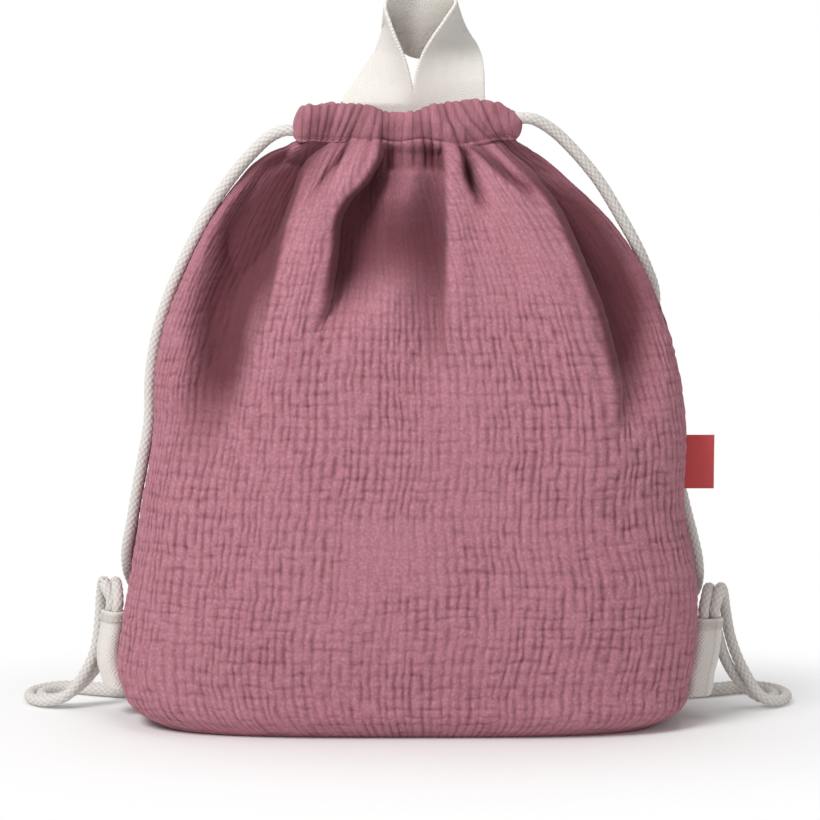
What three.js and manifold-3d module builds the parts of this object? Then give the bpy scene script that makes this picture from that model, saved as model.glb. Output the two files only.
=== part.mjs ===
// A drawstring backpack of cotton double gauze, standing full on its base with its mouth drawn shut.
// Millimetres, +Z up. The front faces -Y, and the origin is the middle of the base.

import * as THREE from "three";
import { mergeVertices } from "three/addons/utils/BufferGeometryUtils.js";
import Module from "manifold-3d";

const wasm = await Module();
wasm.setup();

// The stuffed body
const bodyWidth = 292;
const bodyDepth = 122;
const bodyHeight = 290; // floor to the stitch line under the collar
const bottomSeamLength = 208;
const clothThickness = 2; // double gauze over its backing
const clearance = 0.3; // between pieces that touch

// The collar: a gathered channel on each panel, drawn shut
const collarWidth = 113;
const gatherCount = 20; // across each half
const gatherDepth = 1.1;
const mouthWay = 4.6; // what the drawn mouth leaves open in front of the handle
const channelRounding = 1.2; // of the collar's ends

// The cords
const cordDiameter = 5.5;
const cordSlack = 0.5; // round each cord in its channel
const cordSides = 8;
const strandSteps = 76;

// The webbing of the handle and of the tabs
const webbingWidth = 34;
const webbingThickness = 1.8;
const handleRise = 57; // from the collar to the top of the loop
const handleShift = 3; // the loop's middle, right of the bag's middle
const handleSewnLength = 15;
const handleBendGap = 0.95; // bare webbing between the sewn ends and the loop

const tabThickness = 1.2;
const tabHeight = 40;
const tabFoot = { left: 14.5, right: 11 }; // floor to each tab's lower edge
const tabTurn = { left: 35, right: 15 }; // degrees that each tab stands turned back on its seam
const tabHold = 30; // how far a cord's end reaches into its tab

// The woven label in the right side seam
const labelReach = 15;
const labelHeight = 27;
const labelThickness = 0.8;
const labelFoot = 117; // floor to the label's lower edge

// Sizes that follow
const cordRadius = cordDiameter / 2;
const boreDepth = cordDiameter + 2 * cordSlack;
const boreHeight = 2 * cordDiameter + 4 * cordSlack;
const channelDepth = boreDepth + 2 * clothThickness;
const channelHeight = boreHeight + 2 * clothThickness;
const mouthGap = mouthWay + webbingThickness + 2 * clearance;
const channelInner = mouthGap / 2;
const channelOuter = channelInner + channelDepth;
const channelFoot = bodyHeight + clearance;
const channelTop = channelFoot + channelHeight;
const cordDepth = channelInner + clothThickness + boreDepth / 2; // of a cord in its channel, from the middle plane
const lowCordHeight = channelFoot + clothThickness + cordSlack + cordRadius;
const highCordHeight = lowCordHeight + cordDiameter + cordSlack;
const collarEnd = collarWidth / 2;
const turnMiddle = collarEnd - 1 - cordRadius - cordDepth; // where a cord leaves its channel to turn round
const turnLead = 2; // straight cord before the turn
const tabReach = 2 * tabThickness + 2 * cordDiameter + 3 * clearance;
const tabDepth = 2 * tabThickness + cordDiameter + 2 * clearance;
const tabTop = { left: tabFoot.left + tabHeight, right: tabFoot.right + tabHeight };

// How full the body is between the collar's half width, 0, and its own half width, 1: at shares of its height, for
// the left seam, the right seam and the depth, with the squareness of its outline seen from above.
const fullness = [
  { level: 0, left: 0.79, right: 0.79, depth: 0.68, square: 3.4 },
  { level: 0.02, left: 0.92, right: 0.92, depth: 0.85, square: 3.3 },
  { level: 0.083, left: 1, right: 0.99, depth: 0.94, square: 3.1 },
  { level: 0.172, left: 0.964, right: 1, depth: 0.99, square: 3 },
  { level: 0.259, left: 0.919, right: 0.98, depth: 1, square: 3 },
  { level: 0.362, left: 0.856, right: 0.914, depth: 0.98, square: 2.8 },
  { level: 0.517, left: 0.76, right: 0.913, depth: 0.91, square: 2.7 },
  { level: 0.614, left: 0.762, right: 0.872, depth: 0.85, square: 2.5 },
  { level: 0.69, left: 0.706, right: 0.808, depth: 0.76, square: 2.4 },
  { level: 0.786, left: 0.578, right: 0.672, depth: 0.59, square: 2.35 },
  { level: 0.866, left: 0.456, right: 0.493, depth: 0.42, square: 2.2 },
  { level: 0.931, left: 0.3, right: 0.278, depth: 0.23, square: 2.3 },
  { level: 0.976, left: 0.156, right: 0.106, depth: 0.08, square: 2.6 },
  { level: 1, left: 0, right: 0, depth: 0, square: 3 },
];

// Valleys that the gathered cloth falls into under the collar: place is a share of the body's half width.
const frontFolds = [
  {
    width: 12,
    stations: [
      { level: 0.58, place: -0.66, depth: 0 },
      { level: 0.66, place: -0.6, depth: 6 },
      { level: 0.73, place: -0.56, depth: 12 },
      { level: 0.8, place: -0.52, depth: 14 },
      { level: 0.87, place: -0.46, depth: 12 },
      { level: 0.93, place: -0.38, depth: 6 },
      { level: 0.99, place: -0.3, depth: 0 },
    ],
  },
  {
    width: 9,
    stations: [
      { level: 0.66, place: -0.23, depth: 0 },
      { level: 0.73, place: -0.23, depth: 7 },
      { level: 0.8, place: -0.21, depth: 11 },
      { level: 0.88, place: -0.18, depth: 12 },
      { level: 0.94, place: -0.13, depth: 6 },
      { level: 0.99, place: -0.09, depth: 0 },
    ],
  },
  {
    width: 13,
    stations: [
      { level: 0.66, place: 0.03, depth: 0 },
      { level: 0.78, place: 0.02, depth: 5 },
      { level: 0.88, place: 0.02, depth: 6 },
      { level: 0.97, place: 0.02, depth: 0 },
    ],
  },
  {
    width: 10,
    stations: [
      { level: 0.5, place: 0.76, depth: 0 },
      { level: 0.6, place: 0.75, depth: 5 },
      { level: 0.7, place: 0.71, depth: 10 },
      { level: 0.79, place: 0.65, depth: 11 },
      { level: 0.87, place: 0.57, depth: 8 },
      { level: 0.95, place: 0.42, depth: 0 },
    ],
  },
];
const backFolds = [
  {
    width: 13,
    stations: [
      { level: 0.6, place: -0.5, depth: 0 },
      { level: 0.75, place: -0.42, depth: 9 },
      { level: 0.88, place: -0.33, depth: 10 },
      { level: 0.97, place: -0.24, depth: 0 },
    ],
  },
  {
    width: 10,
    stations: [
      { level: 0.68, place: 0.06, depth: 0 },
      { level: 0.8, place: 0.07, depth: 8 },
      { level: 0.9, place: 0.06, depth: 8 },
      { level: 0.98, place: 0.05, depth: 0 },
    ],
  },
  {
    width: 12,
    stations: [
      { level: 0.55, place: 0.6, depth: 0 },
      { level: 0.72, place: 0.52, depth: 10 },
      { level: 0.85, place: 0.4, depth: 9 },
      { level: 0.96, place: 0.28, depth: 0 },
    ],
  },
];

// Materials
const clothRose = new THREE.MeshStandardMaterial({ color: 0xac6878, roughness: 0.95, metalness: 0 });
const cordWhite = new THREE.MeshStandardMaterial({ color: 0xe4dfda, roughness: 0.9, metalness: 0 });
const webbingWhite = new THREE.MeshStandardMaterial({ color: 0xe2dcd6, roughness: 0.85, metalness: 0 });
const labelRed = new THREE.MeshStandardMaterial({ color: 0xb83a44, roughness: 0.7, metalness: 0 });

const bag = new THREE.Group();

// Smooth curve through the stations' values: cubic pieces whose slopes come from the neighbouring stations.
function smoothValue(stations, level, key) {
  const last = stations.length - 1;
  const at = THREE.MathUtils.clamp(level, stations[0].level, stations[last].level);
  let i = 0;
  while (i < last - 1 && at > stations[i + 1].level) i += 1;
  const span = stations[i + 1].level - stations[i].level;
  const t = (at - stations[i].level) / span;
  const rise = (k) => (stations[k + 1][key] - stations[k][key]) / (stations[k + 1].level - stations[k].level);
  const slope = (k) => {
    if (k === 0) return rise(0);
    if (k === last) return rise(last - 1);
    const before = stations[k].level - stations[k - 1].level;
    const after = stations[k + 1].level - stations[k].level;
    return (rise(k - 1) * after + rise(k) * before) / (before + after);
  };
  const from = stations[i][key];
  const to = stations[i + 1][key];
  const a = slope(i) * span;
  const b = slope(i + 1) * span;
  return from + t * (a + t * (3 * (to - from) - 2 * a - b + t * (a + b - 2 * (to - from))));
}

// How far the side seam stands from the middle at a height: side is "left" or "right".
function seamReach(side, height) {
  const full = smoothValue(fullness, height / bodyHeight, side);
  return collarEnd + (bodyWidth / 2 - collarEnd) * full;
}

function bodyHalfDepth(height) {
  return channelOuter + (bodyDepth / 2 - channelOuter) * smoothValue(fullness, height / bodyHeight, "depth");
}

// Half of the body's outline seen from above, from the left seam round to the right one, evenly spaced along the cloth.
function halfOutline(left, right, depth, square, count) {
  const samples = 160;
  const power = 2 / square;
  const points = [];
  const lengths = [0];
  for (let k = 0; k <= samples; k += 1) {
    const angle = (Math.PI * k) / samples;
    const across = Math.cos(angle);
    const reach = across > 0 ? left : right;
    const x = -Math.sign(across) * reach * Math.abs(across) ** power;
    points.push(new THREE.Vector2(x, depth * Math.max(Math.sin(angle), 0) ** power));
    if (k > 0) lengths.push(lengths[k - 1] + points[k].distanceTo(points[k - 1]));
  }
  const even = [];
  let k = 0;
  for (let j = 0; j <= count; j += 1) {
    const want = (lengths[samples] * j) / count;
    while (k < samples - 1 && lengths[k + 1] < want) k += 1;
    const share = (want - lengths[k]) / (lengths[k + 1] - lengths[k]);
    even.push(points[k].clone().lerp(points[k + 1], Math.min(share, 1)));
  }
  return even;
}

// How deep the folds of a panel lie at a place on it.
function foldDepth(folds, x, level) {
  let deep = 0;
  for (const fold of folds) {
    const ends = fold.stations;
    if (level <= ends[0].level || level >= ends[ends.length - 1].level) continue;
    const place = (smoothValue(ends, level, "place") * bodyWidth) / 2;
    const off = (x - place) / fold.width;
    deep += Math.max(smoothValue(ends, level, "depth"), 0) * Math.exp(-off * off);
  }
  return deep;
}

// A closed mesh from points and triangles, turned to face out.
function closedGeometry(points, triangles) {
  const geometry = new THREE.BufferGeometry();
  geometry.setAttribute("position", new THREE.Float32BufferAttribute(points.flatMap((p) => [p.x, p.y, p.z]), 3));
  let volume = 0;
  for (const [a, b, c] of triangles) {
    volume += points[a].dot(new THREE.Vector3().crossVectors(points[b], points[c]));
  }
  const facing = volume > 0 ? triangles : triangles.map(([a, b, c]) => [a, c, b]);
  geometry.setIndex(facing.flat());
  geometry.computeVertexNormals();
  return geometry;
}

// The closed sheet between two grids of points, rows by columns, with its four edges.
function sheetGeometry(outer, inner) {
  const rows = outer.length;
  const columns = outer[0].length;
  const points = [...outer.flat(), ...inner.flat()];
  const on = (side, i, j) => side * rows * columns + i * columns + j;
  const triangles = [];
  const quad = (a, b, c, d) => triangles.push([a, b, c], [a, c, d]);
  for (let i = 0; i + 1 < rows; i += 1) {
    for (let j = 0; j + 1 < columns; j += 1) {
      quad(on(0, i, j), on(0, i, j + 1), on(0, i + 1, j + 1), on(0, i + 1, j));
      quad(on(1, i, j), on(1, i + 1, j), on(1, i + 1, j + 1), on(1, i, j + 1));
    }
  }
  for (let i = 0; i + 1 < rows; i += 1) {
    const end = columns - 1;
    quad(on(0, i, 0), on(0, i + 1, 0), on(1, i + 1, 0), on(1, i, 0));
    quad(on(0, i, end), on(1, i, end), on(1, i + 1, end), on(0, i + 1, end));
  }
  for (let j = 0; j + 1 < columns; j += 1) {
    const end = rows - 1;
    quad(on(0, 0, j), on(1, 0, j), on(1, 0, j + 1), on(0, 0, j + 1));
    quad(on(0, end, j), on(0, end, j + 1), on(1, end, j + 1), on(1, end, j));
  }
  return closedGeometry(points, triangles);
}

// A tube wall lofted through closed rings of points: an outer and an inner ring at each station, open at both ends.
function sleeveGeometry(outer, inner) {
  const stations = outer.length;
  const around = outer[0].length;
  const points = [...outer.flat(), ...inner.flat()];
  const on = (side, i, j) => side * stations * around + i * around + (j % around);
  const triangles = [];
  const quad = (a, b, c, d) => triangles.push([a, b, c], [a, c, d]);
  for (let j = 0; j < around; j += 1) {
    for (let i = 0; i + 1 < stations; i += 1) {
      quad(on(0, i, j), on(0, i, j + 1), on(0, i + 1, j + 1), on(0, i + 1, j));
      quad(on(1, i, j), on(1, i + 1, j), on(1, i + 1, j + 1), on(1, i, j + 1));
    }
    const end = stations - 1;
    quad(on(0, 0, j), on(1, 0, j), on(1, 0, j + 1), on(0, 0, j + 1));
    quad(on(0, end, j), on(0, end, j + 1), on(1, end, j + 1), on(1, end, j));
  }
  return closedGeometry(points, triangles);
}

// The normals of a grid of points, from the differences of neighbours.
function gridNormals(grid) {
  return grid.map((row, i) =>
    row.map((_, j) => {
      const up = grid[Math.min(i + 1, grid.length - 1)][j].clone().sub(grid[Math.max(i - 1, 0)][j]);
      const across = row[Math.min(j + 1, row.length - 1)].clone().sub(row[Math.max(j - 1, 0)]);
      return up.cross(across).normalize();
    }),
  );
}

function addMesh(name, geometry, material) {
  const mesh = new THREE.Mesh(geometry, material);
  mesh.name = name;
  bag.add(mesh);
  return mesh;
}

// One panel of cloth: from the bottom seam out over the base and up to the stitch line. It is made for the back, and
// the front one is turned over to -Y.
const panelColumns = 36;
const baseInsets = [1, 0.5];
const wallLevels = [
  0, 0.012, 0.035, 0.08, 0.14, 0.21, 0.29, 0.37, 0.45, 0.53, 0.6, 0.66, 0.72, 0.78, 0.83, 0.88, 0.92, 0.96, 1,
];

function panelRow(left, right, depth, square, height, folds) {
  const level = height / bodyHeight;
  return halfOutline(left, right, depth, square, panelColumns).map((p) => {
    const flattest = Math.min(p.y, clothThickness);
    const y = Math.max(p.y - foldDepth(folds, p.x, level), flattest);
    return new THREE.Vector3(p.x, clearance / 2 + y, height);
  });
}

function panelSurface(folds) {
  const edge = [seamReach("left", 0), seamReach("right", 0), bodyHalfDepth(0)];
  const square = fullness[0].square;
  const rows = baseInsets.map((inset) => {
    const left = THREE.MathUtils.lerp(edge[0], bottomSeamLength / 2, inset);
    const right = THREE.MathUtils.lerp(edge[1], bottomSeamLength / 2, inset);
    return panelRow(left, right, edge[2] * (1 - inset), square, 0, folds);
  });
  for (const level of wallLevels) {
    const height = level * bodyHeight;
    const outline = [seamReach("left", height), seamReach("right", height), bodyHalfDepth(height)];
    rows.push(panelRow(...outline, smoothValue(fullness, level, "square"), height, folds));
  }
  return rows;
}

function panelGeometry(folds, facing) {
  const outer = panelSurface(folds);
  const normals = gridNormals(outer);
  const inner = outer.map((row, i) =>
    row.map((p, j) => {
      const out = normals[i][j];
      if (i < baseInsets.length) out.set(0, 0, 1);
      if (j === 0 || j === panelColumns) out.setY(0).normalize();
      return p.clone().addScaledVector(out, i < baseInsets.length ? clothThickness : -clothThickness);
    }),
  );
  const turned = (grid) => grid.map((row) => row.map((p) => new THREE.Vector3(p.x, facing * p.y, p.z)));
  return sheetGeometry(turned(outer), turned(inner));
}

function makePanels() {
  addMesh("front_panel", panelGeometry(frontFolds, -1), clothRose);
  addMesh("back_panel", panelGeometry(backFolds, 1), clothRose);
}

// A solid of the manifold library from a geometry, and a geometry from such a solid.
function toSolid(geometry) {
  const bare = geometry.clone();
  bare.deleteAttribute("normal");
  bare.deleteAttribute("uv");
  const merged = mergeVertices(bare, 1e-4);
  return new wasm.Manifold(
    new wasm.Mesh({
      numProp: 3,
      vertProperties: merged.attributes.position.array,
      triVerts: new Uint32Array(merged.index.array),
    }),
  );
}

function toGeometry(solid) {
  const mesh = solid.getMesh();
  const geometry = new THREE.BufferGeometry();
  geometry.setAttribute("position", new THREE.BufferAttribute(mesh.vertProperties, 3));
  geometry.setIndex(new THREE.BufferAttribute(mesh.triVerts, 1));
  return geometry;
}

// One half of the collar: a gathered casing along X with the cords' channel through it. Depths run from the middle
// plane outwards.
function channelSections() {
  const stepsPerGather = 3;
  const stations = gatherCount * stepsPerGather;
  const boreStart = channelInner + clothThickness;
  const boreEnd = boreStart + boreDepth;
  const corner = cordSlack;
  const outer = [];
  const inner = [];
  for (let i = 0; i <= stations; i += 1) {
    const x = -collarEnd + (collarWidth * i) / stations;
    const wave = 0.5 - 0.5 * Math.cos((2 * Math.PI * i) / stepsPerGather);
    const fold = gatherDepth * wave;
    const nearEnd = Math.max(Math.abs(x) - (collarEnd - 3 * channelRounding), 0) / (3 * channelRounding);
    const shrink = channelRounding * nearEnd * nearEnd;
    const face = channelOuter - shrink;
    const top = channelHeight - shrink + 0.3 * fold;
    outer.push([
      new THREE.Vector3(x, channelInner, 0),
      new THREE.Vector3(x, channelOuter - shrink, 0),
      new THREE.Vector3(x, face + fold, 0.25 * channelHeight),
      new THREE.Vector3(x, face + fold, 0.75 * channelHeight),
      new THREE.Vector3(x, face - clothThickness / 2, top),
      new THREE.Vector3(x, channelInner + clothThickness / 2, top),
      new THREE.Vector3(x, channelInner, channelHeight - clothThickness),
    ]);
    inner.push([
      new THREE.Vector3(x, boreStart, clothThickness),
      new THREE.Vector3(x, boreEnd, clothThickness),
      new THREE.Vector3(x, boreEnd, 0.4 * channelHeight),
      new THREE.Vector3(x, boreEnd, clothThickness + boreHeight - corner),
      new THREE.Vector3(x, boreEnd - corner, clothThickness + boreHeight),
      new THREE.Vector3(x, boreStart + corner, clothThickness + boreHeight),
      new THREE.Vector3(x, boreStart, clothThickness + boreHeight - corner),
    ]);
  }
  return { outer, inner };
}

// The gap in a channel's inner wall where one cord passes over to the other half: end is -1 left or 1 right.
function turnSlot(end, height) {
  const length = collarEnd - turnMiddle + cordRadius;
  const slot = new THREE.BoxGeometry(length + 1, clothThickness * 3, cordDiameter + 2 * cordSlack);
  slot.translate(end * (collarEnd + 1 - (length + 1) / 2), channelInner + clothThickness / 2, height);
  return slot;
}

function channelGeometry(facing) {
  const { outer, inner } = channelSections();
  let solid = toSolid(sleeveGeometry(outer, inner));
  solid = solid.subtract(toSolid(turnSlot(1, lowCordHeight - channelFoot)));
  solid = solid.subtract(toSolid(turnSlot(-1, highCordHeight - channelFoot)));
  const geometry = toGeometry(solid);
  geometry.translate(0, 0, channelFoot);
  if (facing < 0) {
    geometry.scale(1, -1, 1);
    const index = geometry.index.array;
    for (let k = 0; k < index.length; k += 3) [index[k + 1], index[k + 2]] = [index[k + 2], index[k + 1]];
  }
  return geometry;
}

function makeChannels() {
  addMesh("front_channel", channelGeometry(-1), clothRose);
  addMesh("back_channel", channelGeometry(1), clothRose);
}

// A cord's round section, pushed along a curve.
function cordGeometry(curve, steps) {
  const section = new THREE.Shape();
  for (let k = 0; k < cordSides; k += 1) {
    const angle = (2 * Math.PI * k) / cordSides;
    const x = cordRadius * Math.cos(angle);
    const y = cordRadius * Math.sin(angle);
    if (k === 0) section.moveTo(x, y);
    else section.lineTo(x, y);
  }
  section.closePath();
  return new THREE.ExtrudeGeometry(section, { steps, bevelEnabled: false, extrudePath: curve });
}

// The stretches of a cord inside the collar: a run through each channel, and the turn between them. exitSide is the
// side where both its ends leave, -1 left or 1 right.
function makeChannelCord(name, exitSide, height) {
  const start = exitSide * collarEnd;
  const end = -exitSide * (turnMiddle - turnLead - clearance);
  for (const [half, facing] of [
    ["front", -1],
    ["back", 1],
  ]) {
    const run = new THREE.CylinderGeometry(cordRadius, cordRadius, Math.abs(end - start), cordSides);
    run.rotateZ(Math.PI / 2);
    const mesh = addMesh(`${name}_cord_${half}_run`, run, cordWhite);
    mesh.position.set((start + end) / 2, facing * cordDepth, height);
  }
  const lead = (facing) => new THREE.Vector3(-exitSide * (turnMiddle - turnLead), facing * cordDepth, height);
  const arc = [lead(-1)];
  const steps = 12;
  for (let k = 0; k <= steps; k += 1) {
    const angle = (Math.PI * k) / steps;
    const x = -exitSide * (turnMiddle + cordDepth * Math.sin(angle));
    arc.push(new THREE.Vector3(x, -cordDepth * Math.cos(angle), height));
  }
  arc.push(lead(1));
  addMesh(`${name}_cord_turn`, cordGeometry(new THREE.CatmullRomCurve3(arc), steps + 4), cordWhite);
}

// The tabs: webbing folded into a sleeve that stands on the side seam and holds the ends of a cord.
const tabSections = 5;

// The tab's pivot, in the round of its wall next to the seam, and a place in the tab measured from that pivot:
// along is away from the seam, across is to the tab's back.
function tabPlace(side, along, across, height) {
  const pivot = seamReach(side, height) + clearance + tabDepth / 2;
  const turn = THREE.MathUtils.degToRad(tabTurn[side]);
  const sign = side === "left" ? -1 : 1;
  const x = pivot + along * Math.cos(turn) - across * Math.sin(turn);
  const y = along * Math.sin(turn) + across * Math.cos(turn);
  return new THREE.Vector3(sign * x, y, height);
}

// The tab's outline at a height, inset from its outer faces.
function tabRing(side, inset, height) {
  const round = 6;
  const radius = tabDepth / 2 - inset;
  const points = [];
  for (const [middle, from] of [
    [tabReach - tabDepth, -Math.PI / 2],
    [0, Math.PI / 2],
  ]) {
    for (let k = 0; k <= round; k += 1) {
      const angle = from + (Math.PI * k) / round;
      points.push(tabPlace(side, middle + radius * Math.cos(angle), radius * Math.sin(angle), height));
    }
  }
  return points;
}

function tabGeometry(side) {
  const outer = [];
  const inner = [];
  for (let i = 0; i < tabSections; i += 1) {
    const height = tabFoot[side] + (tabHeight * i) / (tabSections - 1);
    outer.push(tabRing(side, 0, height));
    inner.push(tabRing(side, tabThickness, height));
  }
  return sleeveGeometry(outer, inner);
}

// The middle of a cord's end in its tab at a height: rank 0 is next to the seam, 1 is the outer one.
function heldCord(side, rank, height) {
  const first = tabThickness + clearance + cordRadius - tabDepth / 2;
  return tabPlace(side, first + rank * (cordDiameter + clearance), 0, height);
}

function makeTab(side) {
  addMesh(`${side}_tab`, tabGeometry(side), webbingWhite);
  for (const [rank, which] of [
    [0, "inner"],
    [1, "outer"],
  ]) {
    const points = [];
    for (let i = 0; i < tabSections; i += 1) {
      points.push(heldCord(side, rank, tabTop[side] - (tabHold * i) / (tabSections - 1)));
    }
    addMesh(`${side}_cord_${which}_end`, cordGeometry(new THREE.CatmullRomCurve3(points), tabSections - 1), cordWhite);
  }
}

// The free cords. Both strands of a side run close together, so one list holds the middle of the pair: out from the
// bag's middle, back and up. turn is the way from the front strand to the back one, in degrees from straight back
// round to straight out, and apart is half the distance between them where it isn't the usual one.
const strandSpacing = 3.05; // half the distance between the middles of the two strands
const routes = {
  left: [
    { out: collarEnd + clearance, back: 0, up: lowCordHeight, turn: 0, apart: cordDepth },
    { out: 61.5, back: 0, up: 295.3, turn: 0, apart: cordDepth },
    { out: 68.5, back: 0, up: 292, turn: 0, apart: 7.8 },
    { out: 78.5, back: 0, up: 282.6, turn: 0, apart: 5.4 },
    { out: 88.5, back: 0, up: 270.6, turn: 0, apart: 3.8 },
    { out: 98.2, back: 0, up: 256.2, turn: 0 },
    { out: 113.8, back: 0, up: 225.2, turn: 0 },
    { out: 119.6, back: 0, up: 211, turn: 0 },
    { out: 125, back: 0, up: 193, turn: 0 },
    { out: 128.2, back: 0, up: 173, turn: 0 },
    { out: 129, back: 0, up: 151, turn: 0 },
    { out: 132.6, back: 0, up: 131, turn: 0 },
    { out: 135.8, back: 1, up: 115, turn: 0 },
    { out: 138.8, back: 4, up: 99, turn: 0, apart: 3.4 },
    { out: 141.3, back: 11, up: 85, turn: -10, apart: 3.9 },
    { out: 141.2, back: 21.5, up: 73, turn: -20, apart: 4.4 },
    { out: 137.6, back: 32, up: 61, turn: -35, apart: 4.4 },
    { out: 132.8, back: 40.5, up: 47.5, turn: -45, apart: 3.8 },
    { out: 129.8, back: 45.5, up: 32, turn: -45 },
    { out: 131, back: 47, up: 17, turn: -30 },
    { out: 137.5, back: 47, up: 7.2, turn: -10 },
    { out: 147.5, back: 46.8, up: 3.8, turn: 0 },
    { out: 163, back: 52, up: 3.2, turn: -18 },
    { out: 175.5, back: 56.8, up: 3.2, turn: -5 },
    { out: 185, back: 54.8, up: 3.2, turn: 30 },
    { out: 191.6, back: 48.2, up: 3.2, turn: 60 },
    { out: 194, back: 39, up: 3.2, turn: 90 },
    { out: 191.6, back: 30, up: 3.2, turn: 120 },
    { out: 185, back: 23.6, up: 3.6, turn: 150 },
    { out: 176.5, back: 21, up: 6, turn: 170 },
    { out: 170, back: 20.6, up: 11, turn: 160 },
    { out: 163, back: 20.4, up: 19.6, turn: 142, apart: 3.3 },
    { out: 157.2, back: 20.6, up: 31, turn: 115, apart: 3.15 },
    { out: 155, back: 21.2, up: 44, turn: 90 },
    { out: 154.2, back: 21.3, up: 56, turn: 80 },
    { out: 152.9, back: 18, up: 64.4, turn: 78, apart: 3.15 },
    { out: 151.2, back: 11, up: 67.6, turn: 75, apart: 3.2 },
    { out: 149.4, back: 4.8, up: 64.8, turn: 62, apart: 3.25 },
  ],
  right: [
    { out: collarEnd + clearance, back: 0, up: highCordHeight, turn: 0, apart: cordDepth },
    { out: 61.5, back: 0, up: 301.2, turn: 0, apart: 8.6 },
    { out: 68.5, back: 0, up: 297.8, turn: 0, apart: 7.2 },
    { out: 77, back: 0.5, up: 291, turn: 0, apart: 5.4 },
    { out: 93.8, back: 2, up: 272, turn: 0, apart: 3.4 },
    { out: 108.3, back: 4.5, up: 248.8, turn: 0 },
    { out: 114.4, back: 7, up: 238, turn: 0, apart: 3.2 },
    { out: 119, back: 11.5, up: 227.5, turn: -10, apart: 3.3 },
    { out: 122.6, back: 17.4, up: 216, turn: -25, apart: 3.3 },
    { out: 123.4, back: 24.3, up: 202, turn: -40, apart: 3.2 },
    { out: 127.6, back: 27.5, up: 184, turn: -42 },
    { out: 132.9, back: 29.2, up: 158, turn: -38 },
    { out: 134.9, back: 28.3, up: 130, turn: -32 },
    { out: 140.2, back: 22.5, up: 106, turn: -20 },
    { out: 144.4, back: 19.5, up: 90, turn: -15 },
    { out: 146.8, back: 20, up: 77, turn: -20, apart: 3.4 },
    { out: 146.4, back: 25.5, up: 65, turn: -28, apart: 4.2 },
    { out: 142, back: 34.4, up: 53, turn: -38, apart: 4.4 },
    { out: 136.4, back: 41.8, up: 40, turn: -45, apart: 3.8 },
    { out: 133.8, back: 45.8, up: 25, turn: -40 },
    { out: 137, back: 47, up: 12, turn: -20 },
    { out: 146, back: 46.8, up: 4.2, turn: -5 },
    { out: 162.5, back: 51.8, up: 3.2, turn: -18 },
    { out: 175.5, back: 56.8, up: 3.2, turn: -5 },
    { out: 185, back: 54.8, up: 3.2, turn: 30 },
    { out: 191.6, back: 48.2, up: 3.2, turn: 60 },
    { out: 194, back: 39, up: 3.2, turn: 90 },
    { out: 192.4, back: 30.4, up: 3.2, turn: 115 },
    { out: 187.6, back: 24, up: 3.6, turn: 140 },
    { out: 181.6, back: 21, up: 5.8, turn: 150, apart: 3.2 },
    { out: 176, back: 20.4, up: 10.4, turn: 140, apart: 3.5 },
    { out: 170.8, back: 20.2, up: 17.4, turn: 120, apart: 3.5 },
    { out: 166, back: 20.2, up: 26.4, turn: 100, apart: 3.3 },
    { out: 162.2, back: 20.6, up: 38, turn: 92 },
    { out: 159.6, back: 21.2, up: 52, turn: 88 },
    { out: 158, back: 18, up: 61, turn: 86 },
    { out: 156, back: 11.2, up: 64.4, turn: 84 },
    { out: 154.1, back: 4.4, up: 61.4, turn: 80, apart: 3.15 },
  ],
};

function strandPoints(side, half) {
  const sign = side === "left" ? -1 : 1;
  const points = routes[side].map((place) => {
    const turn = THREE.MathUtils.degToRad(place.turn);
    const apart = half * (place.apart ?? strandSpacing);
    return new THREE.Vector3(
      sign * (place.out + apart * Math.sin(turn)),
      place.back + apart * Math.cos(turn),
      place.up,
    );
  });
  const rank = half < 0 ? 0 : 1;
  points.push(heldCord(side, rank, tabTop[side] + 4.3));
  points.push(heldCord(side, rank, tabTop[side] + 2 * clearance));
  return points;
}

function makeFreeStrands(side) {
  for (const [which, half] of [
    ["front", -1],
    ["back", 1],
  ]) {
    const curve = new THREE.CatmullRomCurve3(strandPoints(side, half));
    addMesh(`${side}_free_${which}_strand`, cordGeometry(curve, strandSteps), cordWhite);
  }
}

// The carry handle: one strip of webbing. Its ends are sewn side by side inside the mouth, on the back channel, and
// the strip between them stands up as a loop, each leg twisting so that the band at the top stands on edge behind.
const handleDepth = channelInner - clearance - webbingThickness / 2;
const handleFoot = channelTop + clearance / 2;
const legGap = 2 * clearance;

// Stations along the strip, from the left leg over the top to the right leg: the inner edge at shares of the loop's
// rise, then how far the strip is turned out of the front plane and how far its outer edge dips, in degrees.
const handleStations = [
  { across: 0, back: 0, up: 0, turn: 0, dip: 0 },
  { across: -0.02, back: 0, up: 0.17, turn: 38, dip: -3 },
  { across: -0.08, back: 0, up: 0.4, turn: 66, dip: -8 },
  { across: -0.19, back: 0.01, up: 0.68, turn: 84, dip: -4 },
  { across: -0.24, back: 0.06, up: 0.88, turn: 88, dip: 20 },
  { across: -0.15, back: 0.15, up: 0.97, turn: 90, dip: 48 },
  { across: 0.06, back: 0.26, up: 1, turn: 90, dip: 72 },
  { across: 0.28, back: 0.17, up: 0.97, turn: 90, dip: 52 },
  { across: 0.36, back: 0.08, up: 0.9, turn: 86, dip: 30 },
  { across: 0.27, back: 0.02, up: 0.74, turn: 68, dip: 6 },
  { across: 0.16, back: 0, up: 0.58, turn: 50, dip: 0 },
  { across: 0.07, back: 0, up: 0.42, turn: 30, dip: -2 },
  { across: 0.01, back: 0, up: 0.2, turn: 10, dip: 0 },
  { across: 0, back: 0, up: 0, turn: 0, dip: 0 },
];

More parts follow.
